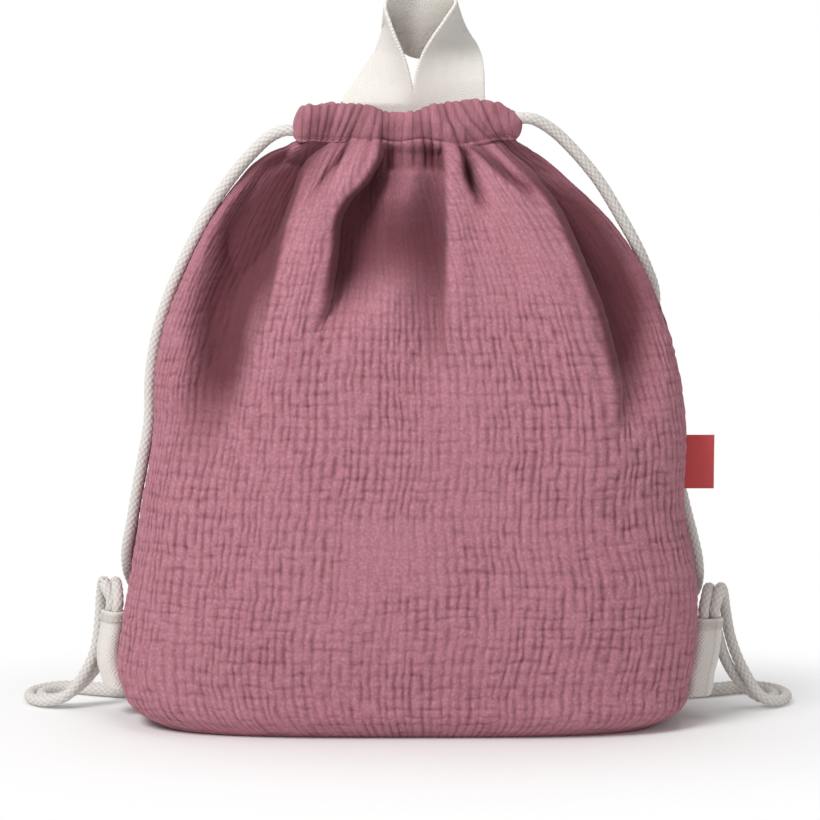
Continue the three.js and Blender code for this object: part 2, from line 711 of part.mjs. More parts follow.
function handleGeometry() {
  const count = handleStations.length - 1;
  const top = 6; // the station where the strip passes from the left leg to the right one
  const edge = [];
  const directions = [];
  handleStations.forEach((s, i) => {
    const side = i <= top ? -1 : 1;
    const gap = (i === top ? 0 : side) * (legGap / 2);
    const turn = THREE.MathUtils.degToRad(s.turn);
    const dip = THREE.MathUtils.degToRad(s.dip);
    edge.push(
      new THREE.Vector3(
        handleShift + gap + s.across * handleRise,
        handleDepth + s.back * handleRise,
        handleFoot + handleBendGap + s.up * (handleRise - handleBendGap),
      ),
    );
    directions.push(
      new THREE.Vector3(
        side * Math.cos(turn) * Math.cos(dip),
        Math.sin(turn) * Math.cos(dip),
        -Math.sin(dip),
      ),
    );
  });
  const edgeCurve = new THREE.CatmullRomCurve3(edge, false, "centripetal");
  const directionCurve = new THREE.CatmullRomCurve3(directions);
  const stepsPerStation = 4;
  const across = 3;
  const middle = [];
  for (let i = 0; i <= count * stepsPerStation; i += 1) {
    const t = i / (count * stepsPerStation);
    const start = edgeCurve.getPoint(t);
    const out = directionCurve.getPoint(t).normalize();
    const row = [];
    for (let j = 0; j <= across; j += 1) {
      row.push(start.clone().addScaledVector(out, (webbingWidth * j) / across));
    }
    middle.push(row);
  }
  const normals = gridNormals(middle);
  for (const normal of [...normals[0], ...normals[normals.length - 1]]) normal.setZ(0).normalize();
  const side = (sign) =>
    middle.map((row, i) =>
      row.map((p, j) => p.clone().addScaledVector(normals[i][j], (sign * webbingThickness) / 2)),
    );
  return sheetGeometry(side(1), side(-1));
}

function makeHandle() {
  for (const [side, sign] of [
    ["left", -1],
    ["right", 1],
  ]) {
    const end = new THREE.BoxGeometry(webbingWidth, webbingThickness, handleSewnLength);
    const mesh = addMesh(`handle_${side}_end`, end, webbingWhite);
    const x = handleShift + sign * (legGap / 2 + webbingWidth / 2);
    mesh.position.set(x, handleDepth, handleFoot - handleSewnLength / 2);
  }
  addMesh("carry_handle", handleGeometry(), webbingWhite);
}

// The label: a folded strip that stands out of the right side seam, rounded where it folds round the seam.
function makeLabel() {
  const radius = labelThickness / 2;
  const outline = new THREE.Shape();
  outline.absarc(radius, 0, radius, Math.PI / 2, (3 * Math.PI) / 2, false);
  outline.lineTo(labelReach, -radius);
  outline.lineTo(labelReach, radius);
  outline.closePath();
  const label = new THREE.ExtrudeGeometry(outline, { depth: labelHeight, bevelEnabled: false, curveSegments: 6 });
  const mesh = addMesh("side_label", label, labelRed);
  const seam = Math.max(seamReach("right", labelFoot), seamReach("right", labelFoot + labelHeight));
  mesh.position.set(seam + clearance, 0, labelFoot);
}

makePanels();
makeChannels();
makeChannelCord("left", -1, lowCordHeight);
makeChannelCord("right", 1, highCordHeight);
makeTab("left");
makeTab("right");
makeFreeStrands("left");
makeFreeStrands("right");
makeHandle();
makeLabel();

export default bag;
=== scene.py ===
"""A drawstring backpack of crinkled cotton double gauze, standing full, dressed over its solids.

Sizes are in millimetres in the lists and in metres in Blender. +Z is up and the front faces -Y.
"""

import math

import bpy
import numpy as np
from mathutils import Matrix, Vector


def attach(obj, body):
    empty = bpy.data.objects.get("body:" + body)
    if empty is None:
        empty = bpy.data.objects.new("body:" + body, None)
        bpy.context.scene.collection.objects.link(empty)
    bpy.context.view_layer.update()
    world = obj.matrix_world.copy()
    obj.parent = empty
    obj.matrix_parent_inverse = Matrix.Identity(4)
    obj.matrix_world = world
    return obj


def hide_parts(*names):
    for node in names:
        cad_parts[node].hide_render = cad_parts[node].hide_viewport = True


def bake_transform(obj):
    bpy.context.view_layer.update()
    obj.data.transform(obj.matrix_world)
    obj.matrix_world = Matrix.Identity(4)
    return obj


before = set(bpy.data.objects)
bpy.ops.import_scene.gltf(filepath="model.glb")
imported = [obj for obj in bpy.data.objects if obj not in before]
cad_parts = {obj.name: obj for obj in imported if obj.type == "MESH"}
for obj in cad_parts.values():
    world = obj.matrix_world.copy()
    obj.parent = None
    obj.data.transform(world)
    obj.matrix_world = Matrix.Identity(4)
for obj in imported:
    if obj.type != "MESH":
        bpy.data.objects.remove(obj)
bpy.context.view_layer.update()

MM = 0.001  # metres
SIDES = {"left": -1, "right": 1}
HALVES = {"front": -1, "back": 1}

# The stuffed body
BODY_HALF_WIDTH = 146.0
BODY_HALF_DEPTH = 61.0
BODY_HEIGHT = 290.0  # floor to the stitch line under the collar
NECK_EDGE = 291.4  # where the panel's cloth ends in the groove of the stitch line
BOTTOM_SEAM = 104.0  # half the length of the bottom seam
LINING_INSET = 2.8
SEAM_DEPTH = 1.4
SWELL = 1.6  # height of the slow waves in the cloth
LIP_HEIGHT = 276.3  # of the puckered lip at the middle of the front
LIP_TUCK = 5
CRINKLE_HEIGHT = 1.05
UPRIGHT_GAPS = (2.8, 6)  # smallest and largest distance between creases
LEVEL_GAPS = (3.8, 8.4)
PANEL_GRID = (278, 12, 340)  # rows up the wall, rows under the base, columns
LINING_GRID = (90, 8, 110)

# The collar
COLLAR_END = 56.5
CHANNEL_INNER = 3.5
CHANNEL_OUTER = 14.0
CHANNEL_FOOT = 289.6
CHANNEL_SHOULDER = 0.58  # share of its height where the rounded top begins
CHANNEL_STATIONS = 420
GATHER_SHARE = 0.42  # height of a gather to its width
GATHER_LIMIT = 2.4
NECK_FOLD_LIMIT = 4
END_ROUNDING = {"left": 6, "right": 7.5}
CLOTH_PER_LENGTH = 3.1  # length of flat cloth gathered into a length of collar

# The cords
CORD_RADIUS = 2.75
CORD_DEPTH = 8.75
CORD_HEIGHT = {"left": 295.55, "right": 301.55}
CORD_EXIT = 56.8  # where a cord leaves the collar
CORD_STEP = 0.6  # between the rings of a cord
CORD_SIDES = 32
YARNS = 6  # round a cord
YARN_PITCH = 3.7
YARN_PROUD = 0.16
GROOVE_DEPTH = 0.62
TURN_START = 41.9  # where the turn round the collar's other end begins
TURN_MIDDLE = 44.0
FOOT_LENGTH = 15.0  # of the last stretch of a strand, which is a piece of its own
END_PITCH = 5.8  # between the two cord ends in a tab
END_LENGTH = 30.0
END_STEP = 0.8
END_SIDES = 24
TAB_ENTRY = (4.3, 0.6)  # how far above the tab the last two places of a strand lie

# The webbing and the label
WEBBING_WIDTH = 34.0
WEBBING_THICKNESS = 1.8
TAB_FOOT = {"left": 14.5, "right": 11.0}
TAB_HEIGHT = 40.0
TAB_TOP = {side: foot + TAB_HEIGHT for side, foot in TAB_FOOT.items()}
TAB_TURN = {"left": 50.0, "right": 15.0}
TAB_THICKNESS = 1.2
TAB_DEPTH = 8.5
TAB_REACH = 14.3
HEM_FOOT = TAB_HEIGHT - 5.8
HEM_PROUD = 0.45
LABEL_FOOT = 117.0
LABEL_TOP = 144.0
LABEL_REACH = 15.0
LABEL_SUNK = 0.6  # into the seam
LABEL_LAYER = 0.4
LABEL_FOLD = 0.42  # how far the folded edge stands past the layers
SEAM_GAP = 0.3  # between a side seam and what is sewn into it

# The carry handle
HANDLE_RISE = 57.0
HANDLE_SHIFT = 3.0
HANDLE_DEPTH = 2.3
HANDLE_FOOT = 308.4
HANDLE_GAP = 0.3  # from the middle to each leg
HANDLE_TOP_INSET = 0.95  # keeps the strip's thickness under the rise
HANDLE_TAIL = 7.2  # of the loop that reaches down into the mouth
HANDLE_END_HEIGHTS = (292.45, 302.5)
HANDLE_STITCH_ROWS = (294.2, 303.6)

# Stitches: length and radius
NECK_STITCH = (2.4, 0.28)
HANDLE_STITCH = (2.3, 0.26)
TAB_STITCH = (2.1, 0.24)
NECK_STITCH_PITCH = 3.4
NECK_STITCH_HEIGHT = 291.5
TAB_STITCH_RISE = 1.4  # above the hem's foot
TAB_STITCH_PROUD = 0.42

# Colours, linear
ROSE = (0.415, 0.152, 0.193, 1)
# Darker rose: of the cloth's random streaks, and the painted shade in its creases, its folds and the inside
# of the bag
ROSE_STREAK_AND_SHADE = (0.1, 0.023, 0.03, 1)
ROSE_PALE = (0.54, 0.28, 0.335, 1)
COTTON = (0.78, 0.745, 0.71, 1)
# painted shade in the braid's grooves
COTTON_SHADE = (0.3, 0.27, 0.245, 1)
WEBBING = (0.82, 0.785, 0.74, 1)
# painted shade between the herringbone's ribs
WEBBING_SHADE = (0.5, 0.46, 0.41, 1)
# painted shade on a tab's hem
WEBBING_HEM_SHADE = (0.4, 0.37, 0.29, 1)
RED = (0.64, 0.078, 0.084, 1)
RED_DEEP = (0.42, 0.04, 0.045, 1)
SPECK = (0.8, 0.55, 0.6, 1)
COTTON_LIGHT = (0.9, 0.87, 0.83, 1)
WEBBING_LIGHT = (0.9, 0.87, 0.82, 1)
RED_LIGHT = (0.74, 0.16, 0.17, 1)
ROSE_THREAD = (0.46, 0.18, 0.23, 1)
ROSE_THREAD_SHADE = (0.26, 0.08, 0.11, 1)
WHITE_THREAD = (0.84, 0.81, 0.77, 1)
WHITE_THREAD_SHADE = (0.6, 0.56, 0.5, 1)

# The camera and the lamps, in metres and watts
CAMERA_PLACE = (0.0012, -1.3, 0.3)
CAMERA_AIM = (0.0012, 0, 0.1565)
LENS = 114.85  # millimetres, as is the sensor's width
SENSOR_WIDTH = 36
LAMPS = (
    {"name": "key", "place": (-1.0, -1.15, 1.55), "aim": (0, 0, 0.15), "size": 0.85, "power": 31},
    {"name": "top", "place": (0.1, 0.2, 1.9), "aim": (0, 0, 0.1), "size": 1.6, "power": 10},
    {"name": "fill", "place": (1.3, -1.3, 1.1), "aim": (0, 0, 0.15), "size": 1.2, "power": 4.5},
)
WORLD_LIGHT = 0.28
FLOOR_HALF_SIZE = 6000.0  # millimetres

# Seeds of the random draws
SEEDS = {
    "front": {"gathers": 5, "crinkle": 3, "swell": 9, "sway": 31, "wrinkle": 70, "shade": 75},
    "back": {"gathers": 4, "crinkle": 40, "swell": 19, "sway": 32, "wrinkle": 90, "shade": 95},
}
LIP_SEED = 33
BACK_GATHERS_SEED = 11


def link(name, data):
    obj = bpy.data.objects.new(name, data)
    bpy.context.scene.collection.objects.link(obj)
    return obj


def aimed(place, aim):
    return (Vector(aim) - Vector(place)).to_track_quat("-Z", "Y").to_euler()


def make_camera():
    data = bpy.data.cameras.new("camera")
    data.lens = LENS
    data.sensor_width = SENSOR_WIDTH
    camera = link("camera", data)
    camera.location = CAMERA_PLACE
    camera.rotation_euler = aimed(CAMERA_PLACE, CAMERA_AIM)
    bpy.context.scene.camera = camera


# Meshes


def add_mesh(name, points, faces, look, **attributes):
    """A smooth-shaded mesh of a material from points in millimetres. An attribute with three values to a
    point is a vector."""
    points = MM * np.asarray(points).reshape(-1, 3)
    mesh = bpy.data.meshes.new(name)
    mesh.from_pydata(points.tolist(), [], [tuple(face) for face in faces])
    mesh.update()
    mesh.shade_smooth()
    for key, values in attributes.items():
        values = np.asarray(values, np.float32).reshape(len(points), -1)
        kind, field = ("FLOAT_VECTOR", "vector") if values.shape[1] == 3 else ("FLOAT", "value")
        mesh.attributes.new(key, kind, "POINT").data.foreach_set(field, values.ravel())
    mesh.materials.append(material(look))
    return link(name, mesh)


def dress(obj, body, replaces=None):
    """Rides a piece on a body and hides the solid that it stands for."""
    if replaces:
        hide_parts(replaces)
    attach(obj, body)


def grid_faces(rows, columns, closed=False, looped=False, turned=False):
    """Quads of a grid of points. closed joins the last column to the first one, and looped the last row."""
    i, j = np.meshgrid(np.arange(rows if looped else rows - 1), np.arange(columns if closed else columns - 1),
                       indexing="ij")
    above = (i + 1) % rows
    after = (j + 1) % columns
    corners = [i * columns + j, i * columns + after, above * columns + after, above * columns + j]
    if turned:
        corners.reverse()
    return np.stack(corners, axis=-1).reshape(-1, 4)


def capped_tube(rows, columns):
    """Faces of a tube of rings with a face at each end."""
    faces = grid_faces(rows, columns, closed=True).tolist()
    faces.append(list(range(columns))[::-1])
    faces.append([(rows - 1) * columns + k for k in range(columns)])
    return faces


def cloth_places(u, v):
    """Places on the flat cloth, in metres."""
    u, v = np.broadcast_arrays(u, v)
    return MM * np.stack([u, v, np.zeros(u.shape)], axis=-1)


def unit(vectors):
    return vectors / np.maximum(np.linalg.norm(vectors, axis=-1, keepdims=True), 1e-9)


def grid_normals(grid):
    """Normals of a grid, from neighbouring differences: they face +Y where rows go up and columns to +X."""
    return unit(np.cross(np.gradient(grid, axis=0), np.gradient(grid, axis=1)))


def smooth_values(levels, values, at):
    """Cubic pieces through the stations, whose slopes come from the neighbouring stations."""
    levels = np.asarray(levels, float)
    values = np.asarray(values, float)
    spans = np.diff(levels)
    rises = np.diff(values) / spans
    slopes = np.empty(len(levels))
    slopes[0] = rises[0]
    slopes[-1] = rises[-1]
    slopes[1:-1] = (rises[:-1] * spans[1:] + rises[1:] * spans[:-1]) / (spans[:-1] + spans[1:])
    at = np.clip(at, levels[0], levels[-1])
    i = np.clip(np.searchsorted(levels, at, side="right") - 1, 0, len(levels) - 2)
    t = (at - levels[i]) / spans[i]
    a = slopes[i] * spans[i]
    b = slopes[i + 1] * spans[i]
    rise = values[i + 1] - values[i]
    return values[i] + t * (a + t * (3 * rise - 2 * a - b + t * (a + b - 2 * rise)))


def step(low, high, value):
    """0 below low, 1 above high and smooth between them."""
    t = np.clip((value - low) / (high - low), 0, 1)
    return t * t * (3 - 2 * t)


def plateau(value, *levels):
    """0 outside the first and last of four levels and 1 between the middle two."""
    return step(levels[0], levels[1], value) * step(levels[3], levels[2], value)


def bell(offset, width):
    """1 in the middle, falling to 0 on both sides."""
    return np.exp(-((offset / width) ** 2))


def noise(x, y, seed):
    """Smooth noise from about -1 to 1 that changes over a distance of 1."""
    angles = np.random.default_rng(seed).uniform(0, 2 * math.pi, (256, 256))
    column = np.floor(x).astype(int)
    row = np.floor(y).astype(int)
    fx = x - column
    fy = y - row

    def corner(i, j):
        angle = angles[(column + i) % 256, (row + j) % 256]
        return np.cos(angle) * (fx - i) + np.sin(angle) * (fy - j)

    sx = fx * fx * fx * (fx * (fx * 6 - 15) + 10)
    sy = fy * fy * fy * (fy * (fy * 6 - 15) + 10)
    near = corner(0, 0) * (1 - sx) + corner(1, 0) * sx
    far = corner(0, 1) * (1 - sx) + corner(1, 1) * sx
    return 1.6 * (near * (1 - sy) + far * sy)


# Cords: two strands leave the collar on each side and end in that side's tab. Each list holds the middle of
# the pair: out from the bag's middle, back, up, the way from the front strand to the back one in degrees from
# straight back round to straight out, and half the distance between them.
ROUTES = {
    "left": [
        (56.8, 0, 295.55, 0, 8.75), (61.5, 0, 295.3, 0, 8.75), (68.5, 0, 292, 0, 7.8),
        (78.5, 0, 282.6, 0, 5.4), (88.5, 0, 270.6, 0, 3.8), (98.2, 0, 256.2, 0, 3.05),
        (113.8, 0, 225.2, 0, 3.05), (119.6, 0, 211, 0, 3.05), (125, 0, 193, 0, 3.05),
        (128.2, 0, 173, 0, 3.05), (129, 0, 151, 0, 3.05), (132.6, 0, 131, 0, 3.05),
        (135.8, 1, 115, 0, 3.05), (138.8, 4, 99, 0, 3.4), (141.3, 11, 85, -10, 3.9),
        (141.2, 21.5, 73, -20, 4.4), (137.6, 32, 61, -35, 4.4), (132.8, 40.5, 47.5, -45, 3.8),
        (129.8, 45.5, 32, -45, 3.05), (131, 47, 17, -30, 3.05), (137.5, 47, 7.2, -10, 3.05),
        (147.5, 46.8, 3.8, 0, 3.05), (163, 52, 3.2, -18, 3.05), (175.5, 56.8, 3.2, -5, 3.05),
        (185, 54.8, 3.2, 30, 3.05), (191.6, 48.2, 3.2, 60, 3.05), (194, 39, 3.2, 90, 3.05),
        (191.6, 30, 3.2, 120, 3.05), (185, 23.6, 3.6, 150, 3.05), (176.5, 21, 6, 170, 3.05),
        (170, 20.6, 11, 160, 3.05), (163, 20.4, 19.6, 142, 3.3), (157.2, 20.6, 31, 115, 3.15),
        (155, 21.2, 44, 90, 3.05), (154.2, 21.3, 56, 80, 3.05), (152.9, 18, 64.4, 78, 3.15),
        (151.2, 11, 67.6, 75, 3.2), (149.4, 4.8, 64.8, 62, 3.25)],
    "right": [
        (56.8, 0, 301.55, 0, 8.75), (61.5, 0, 301.2, 0, 8.6), (68.5, 0, 297.8, 0, 7.2),
        (77, 0.5, 291, 0, 5.4), (93.8, 2, 272, 0, 3.4), (108.3, 4.5, 248.8, 0, 3.05),
        (114.4, 7, 238, 0, 3.2), (119, 11.5, 227.5, -10, 3.3), (122.6, 17.4, 216, -25, 3.3),
        (123.4, 24.3, 202, -40, 3.2), (127.6, 27.5, 184, -42, 3.05), (132.9, 29.2, 158, -38, 3.05),
        (134.9, 28.3, 130, -32, 3.05), (140.2, 22.5, 106, -20, 3.05), (144.4, 19.5, 90, -15, 3.05),
        (146.8, 20, 77, -20, 3.4), (146.4, 25.5, 65, -28, 4.2), (142, 34.4, 53, -38, 4.4),
        (136.4, 41.8, 40, -45, 3.8), (133.8, 45.8, 25, -40, 3.05), (137, 47, 12, -20, 3.05),
        (146, 46.8, 4.2, -5, 3.05), (162.5, 51.8, 3.2, -18, 3.05), (175.5, 56.8, 3.2, -5, 3.05),
        (185, 54.8, 3.2, 30, 3.05), (191.6, 48.2, 3.2, 60, 3.05), (194, 39, 3.2, 90, 3.05),
        (192.4, 30.4, 3.2, 115, 3.05), (187.6, 24, 3.6, 140, 3.05), (181.6, 21, 5.8, 150, 3.2),
        (176, 20.4, 10.4, 140, 3.5), (170.8, 20.2, 17.4, 120, 3.5), (166, 20.2, 26.4, 100, 3.3),
        (162.2, 20.6, 38, 92, 3.05), (159.6, 21.2, 52, 88, 3.05), (158, 18, 61, 86, 3.05),
        (156, 11.2, 64.4, 84, 3.05), (154.1, 4.4, 61.4, 80, 3.15)],
}


def smooth_route(points, steps=24):
    """The centripetal Catmull-Rom curve through the points, sampled closely."""
    p = np.array(points, float)
    p = np.vstack([2 * p[0] - p[1], p, 2 * p[-1] - p[-2]])
    pieces = []
    for i in range(1, len(p) - 2):
        a, b, c, d = p[i - 1 : i + 3]
        before, here, after = (np.linalg.norm(far - near) ** 0.5 for near, far in ((a, b), (b, c), (c, d)))
        leave = ((b - a) / before - (c - a) / (before + here) + (c - b) / here) * here
        arrive = ((c - b) / here - (d - b) / (here + after) + (d - c) / after) * here
        t = np.linspace(0, 1, steps, endpoint=False)[:, None]
        square = 3 * (c - b) - 2 * leave - arrive
        pieces.append(b + t * leave + t**2 * square + t**3 * (2 * (b - c) + leave + arrive))
    pieces.append(p[-2:-1])
    return np.vstack(pieces)


def lengths_along(line):
    return np.concatenate([[0], np.cumsum(np.linalg.norm(np.diff(line, axis=0), axis=1))])


def points_at(line, at):
    """The points of a line at lengths along it."""
    along = lengths_along(line)
    return np.stack([np.interp(at, along, line[:, k]) for k in range(3)], axis=-1)


def stretch_of(line, start, end, spacing):
    """The points of a line from one length along it to another, evenly spaced."""
    return points_at(line, np.linspace(start, end, max(int(round((end - start) / spacing)), 2) + 1))


def braid_height(around, along):
    """0 in the grooves to 1 on the yarns, of two sets of yarns that pass over and under each other."""

    def yarn(p, q, sign):
        middle = np.round(p)
        body = np.abs(np.cos(math.pi * (p - middle))) ** 0.6
        return body * (0.6 + 0.4 * sign * np.cos(math.pi * (middle + q)))

    return np.maximum(yarn(around + along, around - along, 1), yarn(around - along, around + along, -1))


def braided_tube(name, line, start=0.0, sides=CORD_SIDES):
    """A braided cord round a line of points. start is its distance along the cord, to run the braid on."""
    tangents = unit(np.gradient(line, axis=0))
    side = np.cross(tangents[0], (0.3, 0.2, 0.93))
    normals = []
    for tangent in tangents:
        side = unit(side - side.dot(tangent) * tangent)
        normals.append(side)
    normals = np.array(normals)[:, None]
    others = np.cross(tangents, normals[:, 0])[:, None]
    angle = np.linspace(0, 2 * math.pi, sides, endpoint=False)
    along = start + lengths_along(line)
    height = braid_height(YARNS * angle / (2 * math.pi), along[:, None] / YARN_PITCH)
    radius = (CORD_RADIUS + YARN_PROUD - GROOVE_DEPTH * (1 - height))[..., None]
    out = np.cos(angle)[:, None] * normals + np.sin(angle)[:, None] * others
    tube = add_mesh(name, line[:, None] + radius * out, grid_faces(len(line), sides, closed=True), "braid",
                    cloth=cloth_places(angle * CORD_RADIUS, along[:, None]), groove=1 - height)
    return tube


def seam_reach(side, height):
    column = 1 if side == "left" else 2
    full = smooth_values(STATIONS[:, 0], STATIONS[:, column], height / BODY_HEIGHT)
    return COLLAR_END + (BODY_HALF_WIDTH - COLLAR_END) * full


def tab_place(side, along, across, height):
    """A place in a tab, from the middle of its wall next to the seam: along away from the seam, across to the
    back."""
    pivot = seam_reach(side, height) + SEAM_GAP + TAB_DEPTH / 2
    turn = math.radians(TAB_TURN[side])
    x = pivot + along * math.cos(turn) - across * math.sin(turn)
    y = along * math.sin(turn) + across * math.cos(turn)
    return np.array([SIDES[side] * x, y, height])


def strand_line(side, half):
    points = []
    for out, back, up, turn, apart in ROUTES[side]:
        turn = math.radians(turn)
        across = HALVES[half] * apart
        points.append((SIDES[side] * (out + across * math.sin(turn)), back + across * math.cos(turn), up))
    rank = list(HALVES).index(half)
    for rise in TAB_ENTRY:
        points.append(tab_place(side, rank * END_PITCH, 0, TAB_TOP[side] + rise))
    return smooth_route(points)


def make_strand(side, half):
    """A free strand from the collar to the tab, in two pieces: its long body and a short foot at the tab."""
    line = strand_line(side, half)
    total = lengths_along(line)[-1]
    body = stretch_of(line, 0, total - FOOT_LENGTH, CORD_STEP)
    strand = braided_tube(f"{side}_{half}_strand", body)
    foot_line = stretch_of(line, total - FOOT_LENGTH, total, CORD_STEP)
    foot = braided_tube(f"{side}_{half}_strand_foot", foot_line, start=total - FOOT_LENGTH)
    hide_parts(f"{side}_free_{half}_strand")
    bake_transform(strand)
    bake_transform(foot)


def make_cord_turn(side):
    """A cord's turn round the collar's end, in two halves, the front one and the back one."""
    sign = -SIDES[side]
    height = CORD_HEIGHT[side]
    arc = [(sign * TURN_START, -CORD_DEPTH, height)]
    for angle in np.linspace(0, math.pi, 17):
        out = TURN_MIDDLE + CORD_DEPTH * math.sin(angle)
        arc.append((sign * out, -CORD_DEPTH * math.cos(angle), height))
    arc.append((sign * TURN_START, CORD_DEPTH, height))
    line = smooth_route(arc)
    middle = lengths_along(line)[-1] / 2
    for half, start in (("front", 0.0), ("back", middle)):
        half_line = stretch_of(line, start, start + middle, CORD_STEP)
        turn = braided_tube(f"{side}_turn_{half}", half_line, start=start)
        if half == "front":
            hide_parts(f"{side}_cord_turn")
        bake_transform(turn)


def make_hidden_cord(side):
    """The stretches of a cord inside the collar and inside its tab."""
    for half, facing in HALVES.items():
        deep = facing * CORD_DEPTH
        ends = np.array([(SIDES[side] * out, deep, CORD_HEIGHT[side]) for out in (CORD_EXIT, -TURN_START)])
        line = stretch_of(ends, 0, CORD_EXIT + TURN_START, 2 * CORD_STEP)
        run = braided_tube(f"{side}_{half}_run", line, sides=CORD_SIDES // 2)
        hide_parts(f"{side}_cord_{half}_run")
        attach(run, f"{half}_collar")
    make_cord_turn(side)
    for rank, name in enumerate(("inner", "outer")):
        heights = np.linspace(TAB_TOP[side] + 0.7, TAB_TOP[side] - END_LENGTH, 12)
        line = np.array([tab_place(side, rank * END_PITCH, 0, height) for height in heights])
        line = stretch_of(line, 0, lengths_along(line)[-1], END_STEP)
        end = braided_tube(f"{side}_{name}_end", line, sides=END_SIDES)
        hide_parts(f"{side}_cord_{name}_end")
        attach(end, f"{side}_corner")


# The body's fullness at shares of its height: left seam, right seam, depth, and the squareness of its outline
# seen from above.
STATIONS = np.array([
    (0, 0.75, 0.755, 0.64, 3.4), (0.02, 0.86, 0.865, 0.79, 3.3), (0.083, 0.978, 0.948, 0.88, 3.1),
    (0.172, 0.962, 0.985, 0.948, 3), (0.259, 0.915, 0.975, 0.986, 3), (0.362, 0.862, 0.91, 0.996, 2.8),
    (0.517, 0.778, 0.913, 0.925, 2.7), (0.614, 0.766, 0.872, 0.85, 2.5), (0.69, 0.714, 0.808, 0.76, 2.4),
    (0.786, 0.592, 0.672, 0.59, 2.35), (0.866, 0.464, 0.493, 0.42, 2.2),
    (0.931, 0.316, 0.278, 0.23, 2.3), (0.976, 0.17, 0.106, 0.08, 2.6), (0.991, 0.085, 0.03, 0.03, 2.8),
    (1, 0, 0, 0, 3)])

# The big folds of a panel. Each runs down a line of places (height, across, depth of the valley beside it,
# width of the valley). It is sharp on the line and the valley lies on the side that "toward" names. "lap" is
# how far the sharp edge hangs over the valley.
FRONT_FOLDS = [
    {"toward": -1, "sharp": 2, "lap": 3, "places": [
        (290.5, -37, 1, 12), (286, -43, 6, 15), (279, -49.5, 13, 20), (262, -56, 21, 24),
        (249, -60.5, 24, 26), (236, -63.5, 22, 24), (224, -66, 16, 20), (210, -69, 9, 18),
        (198, -73, 5, 16), (184, -80, 2, 16), (170, -86, 0, 16)]},
    {"toward": -1, "sharp": 10, "lap": 0, "places": [
        (285, -55, 0, 10), (273, -60, 5, 13), (262, -67, 9, 15), (245, -76, 15, 17),
        (228, -82.5, 20, 17), (214, -86, 23, 17), (200, -88.5, 23, 17), (184, -89, 21, 17),
        (170, -91, 17, 17), (155, -95, 10, 17), (140, -98, 4, 16), (125, -100, 0, 16)]},
    {"toward": 1, "sharp": 1.7, "lap": 3.5, "places": [
        (290.5, -12.2, 1.5, 8), (286, -13.2, 7, 8), (278, -16.5, 15, 11), (271, -21, 19, 17),
        (262, -29.5, 21, 24), (253, -34, 22, 31), (240, -35.5, 22, 33), (228, -37, 20, 30),
        (217, -39, 14, 23), (207, -40.5, 6, 16), (199, -41, 0, 13)]},
    {"toward": -1, "sharp": 2, "lap": 2, "places": [
        (290.5, 16, 1, 9), (284, 17.2, 5, 11), (275, 17.3, 8, 14), (262, 17.3, 13, 19),
        (245, 17.2, 16, 23), (230, 17.1, 15, 22), (215, 17, 11, 18), (200, 17, 7, 16), (184, 17, 3, 14),
        (168, 17, 0, 14)]},
    {"toward": 1, "sharp": 1.7, "lap": 1.8, "places": [
        (290, 25.3, 0, 4), (285, 26.8, 6, 5), (279, 27.5, 12, 6), (272, 28.6, 14, 6), (266, 31, 11, 6),
        (260, 34.6, 5, 5), (254, 38, 0, 5)]},
    {"toward": 1, "sharp": 2.6, "lap": 5, "places": [
        (290.5, 46, 1, 10), (282, 52, 8, 13), (272, 61, 15, 17), (263, 69, 20, 21), (254, 74.5, 24, 23),
        (243, 79.5, 27, 25), (225, 86.7, 30, 27), (207, 93.7, 29, 26), (191, 98, 23, 22),
        (175, 101, 13, 19), (160, 102, 5, 17), (146, 103, 0, 15)]},
    {"toward": 1, "sharp": 1.3, "lap": 1.4, "places": [
        (290.5, 29, 1, 5), (284, 34, 6, 6), (275, 43, 9, 7), (267, 53, 8, 7), (261, 60, 4, 6),
        (255, 66, 0, 5)]},
    {"toward": -1, "sharp": 1.3, "lap": 1, "places": [
        (290.5, -26, 1, 3.5), (284, -30, 3.5, 3.5), (276, -36, 4, 3.5), (266, -43, 3, 3.5),
        (252, -49, 0, 3.5)]},
]
BACK_FOLDS = [
    {"toward": -1, "sharp": 3, "lap": 3, "places": [
        (289, -30, 0, 14), (276, -38, 10, 18), (256, -48, 18, 22), (230, -58, 20, 26),
        (205, -68, 13, 26), (175, -78, 0, 24)]},
    {"toward": 1, "sharp": 2.6, "lap": 4, "places": [
        (289, 6, 1, 8), (276, 8, 13, 11), (258, 9, 20, 14), (236, 9, 16, 14), (212, 7, 7, 13),
        (190, 5, 0, 12)]},
    {"toward": -1, "sharp": 2.4, "lap": 2, "places": [
        (289, -9, 1, 6), (276, -10, 8, 9), (260, -13, 11, 10), (242, -16, 7, 10), (222, -18, 0, 9)]},
    {"toward": 1, "sharp": 3, "lap": 3, "places": [
        (289, 34, 0, 10), (274, 44, 10, 15), (250, 57, 18, 20), (222, 69, 19, 22), (195, 80, 11, 22),
        (160, 90, 0, 20)]},
]

# Ridges that stand forward beside the valleys: places (height, across, how far) and the width to each side.
FRONT_RIDGES = [
    {"width": 11, "places": [
        (288, -24, 0), (276, -31, 2), (262, -41, 4), (245, -47, 5), (225, -51, 5), (200, -56, 4),
        (175, -66, 2), (150, -72, 0)]},
    {"width": 5, "places": [
        (276, -72, 0), (262, -87, 1.5), (228, -107, 3), (195, -118.5, 3), (173, -122, 2), (150, -124, 0)]},
    {"width": 11, "places": [
        (281, 4, 0), (276, 4, 4), (270, 3, 4.5), (255, 2, 3), (235, 1, 1.5), (215, 0, 0)]},
    {"width": 7, "places": [
        (290, 20, 0), (282, 21, 2), (270, 21.5, 3), (250, 23, 3), (225, 25, 2), (200, 26, 0)]},
    {"width": 17, "places": [
        (284, 40, 0), (270, 47, 2), (250, 58, 4), (228, 67, 5), (205, 76, 4.5), (180, 83, 4),
        (150, 89, 2.5), (115, 94, 0)]},
]
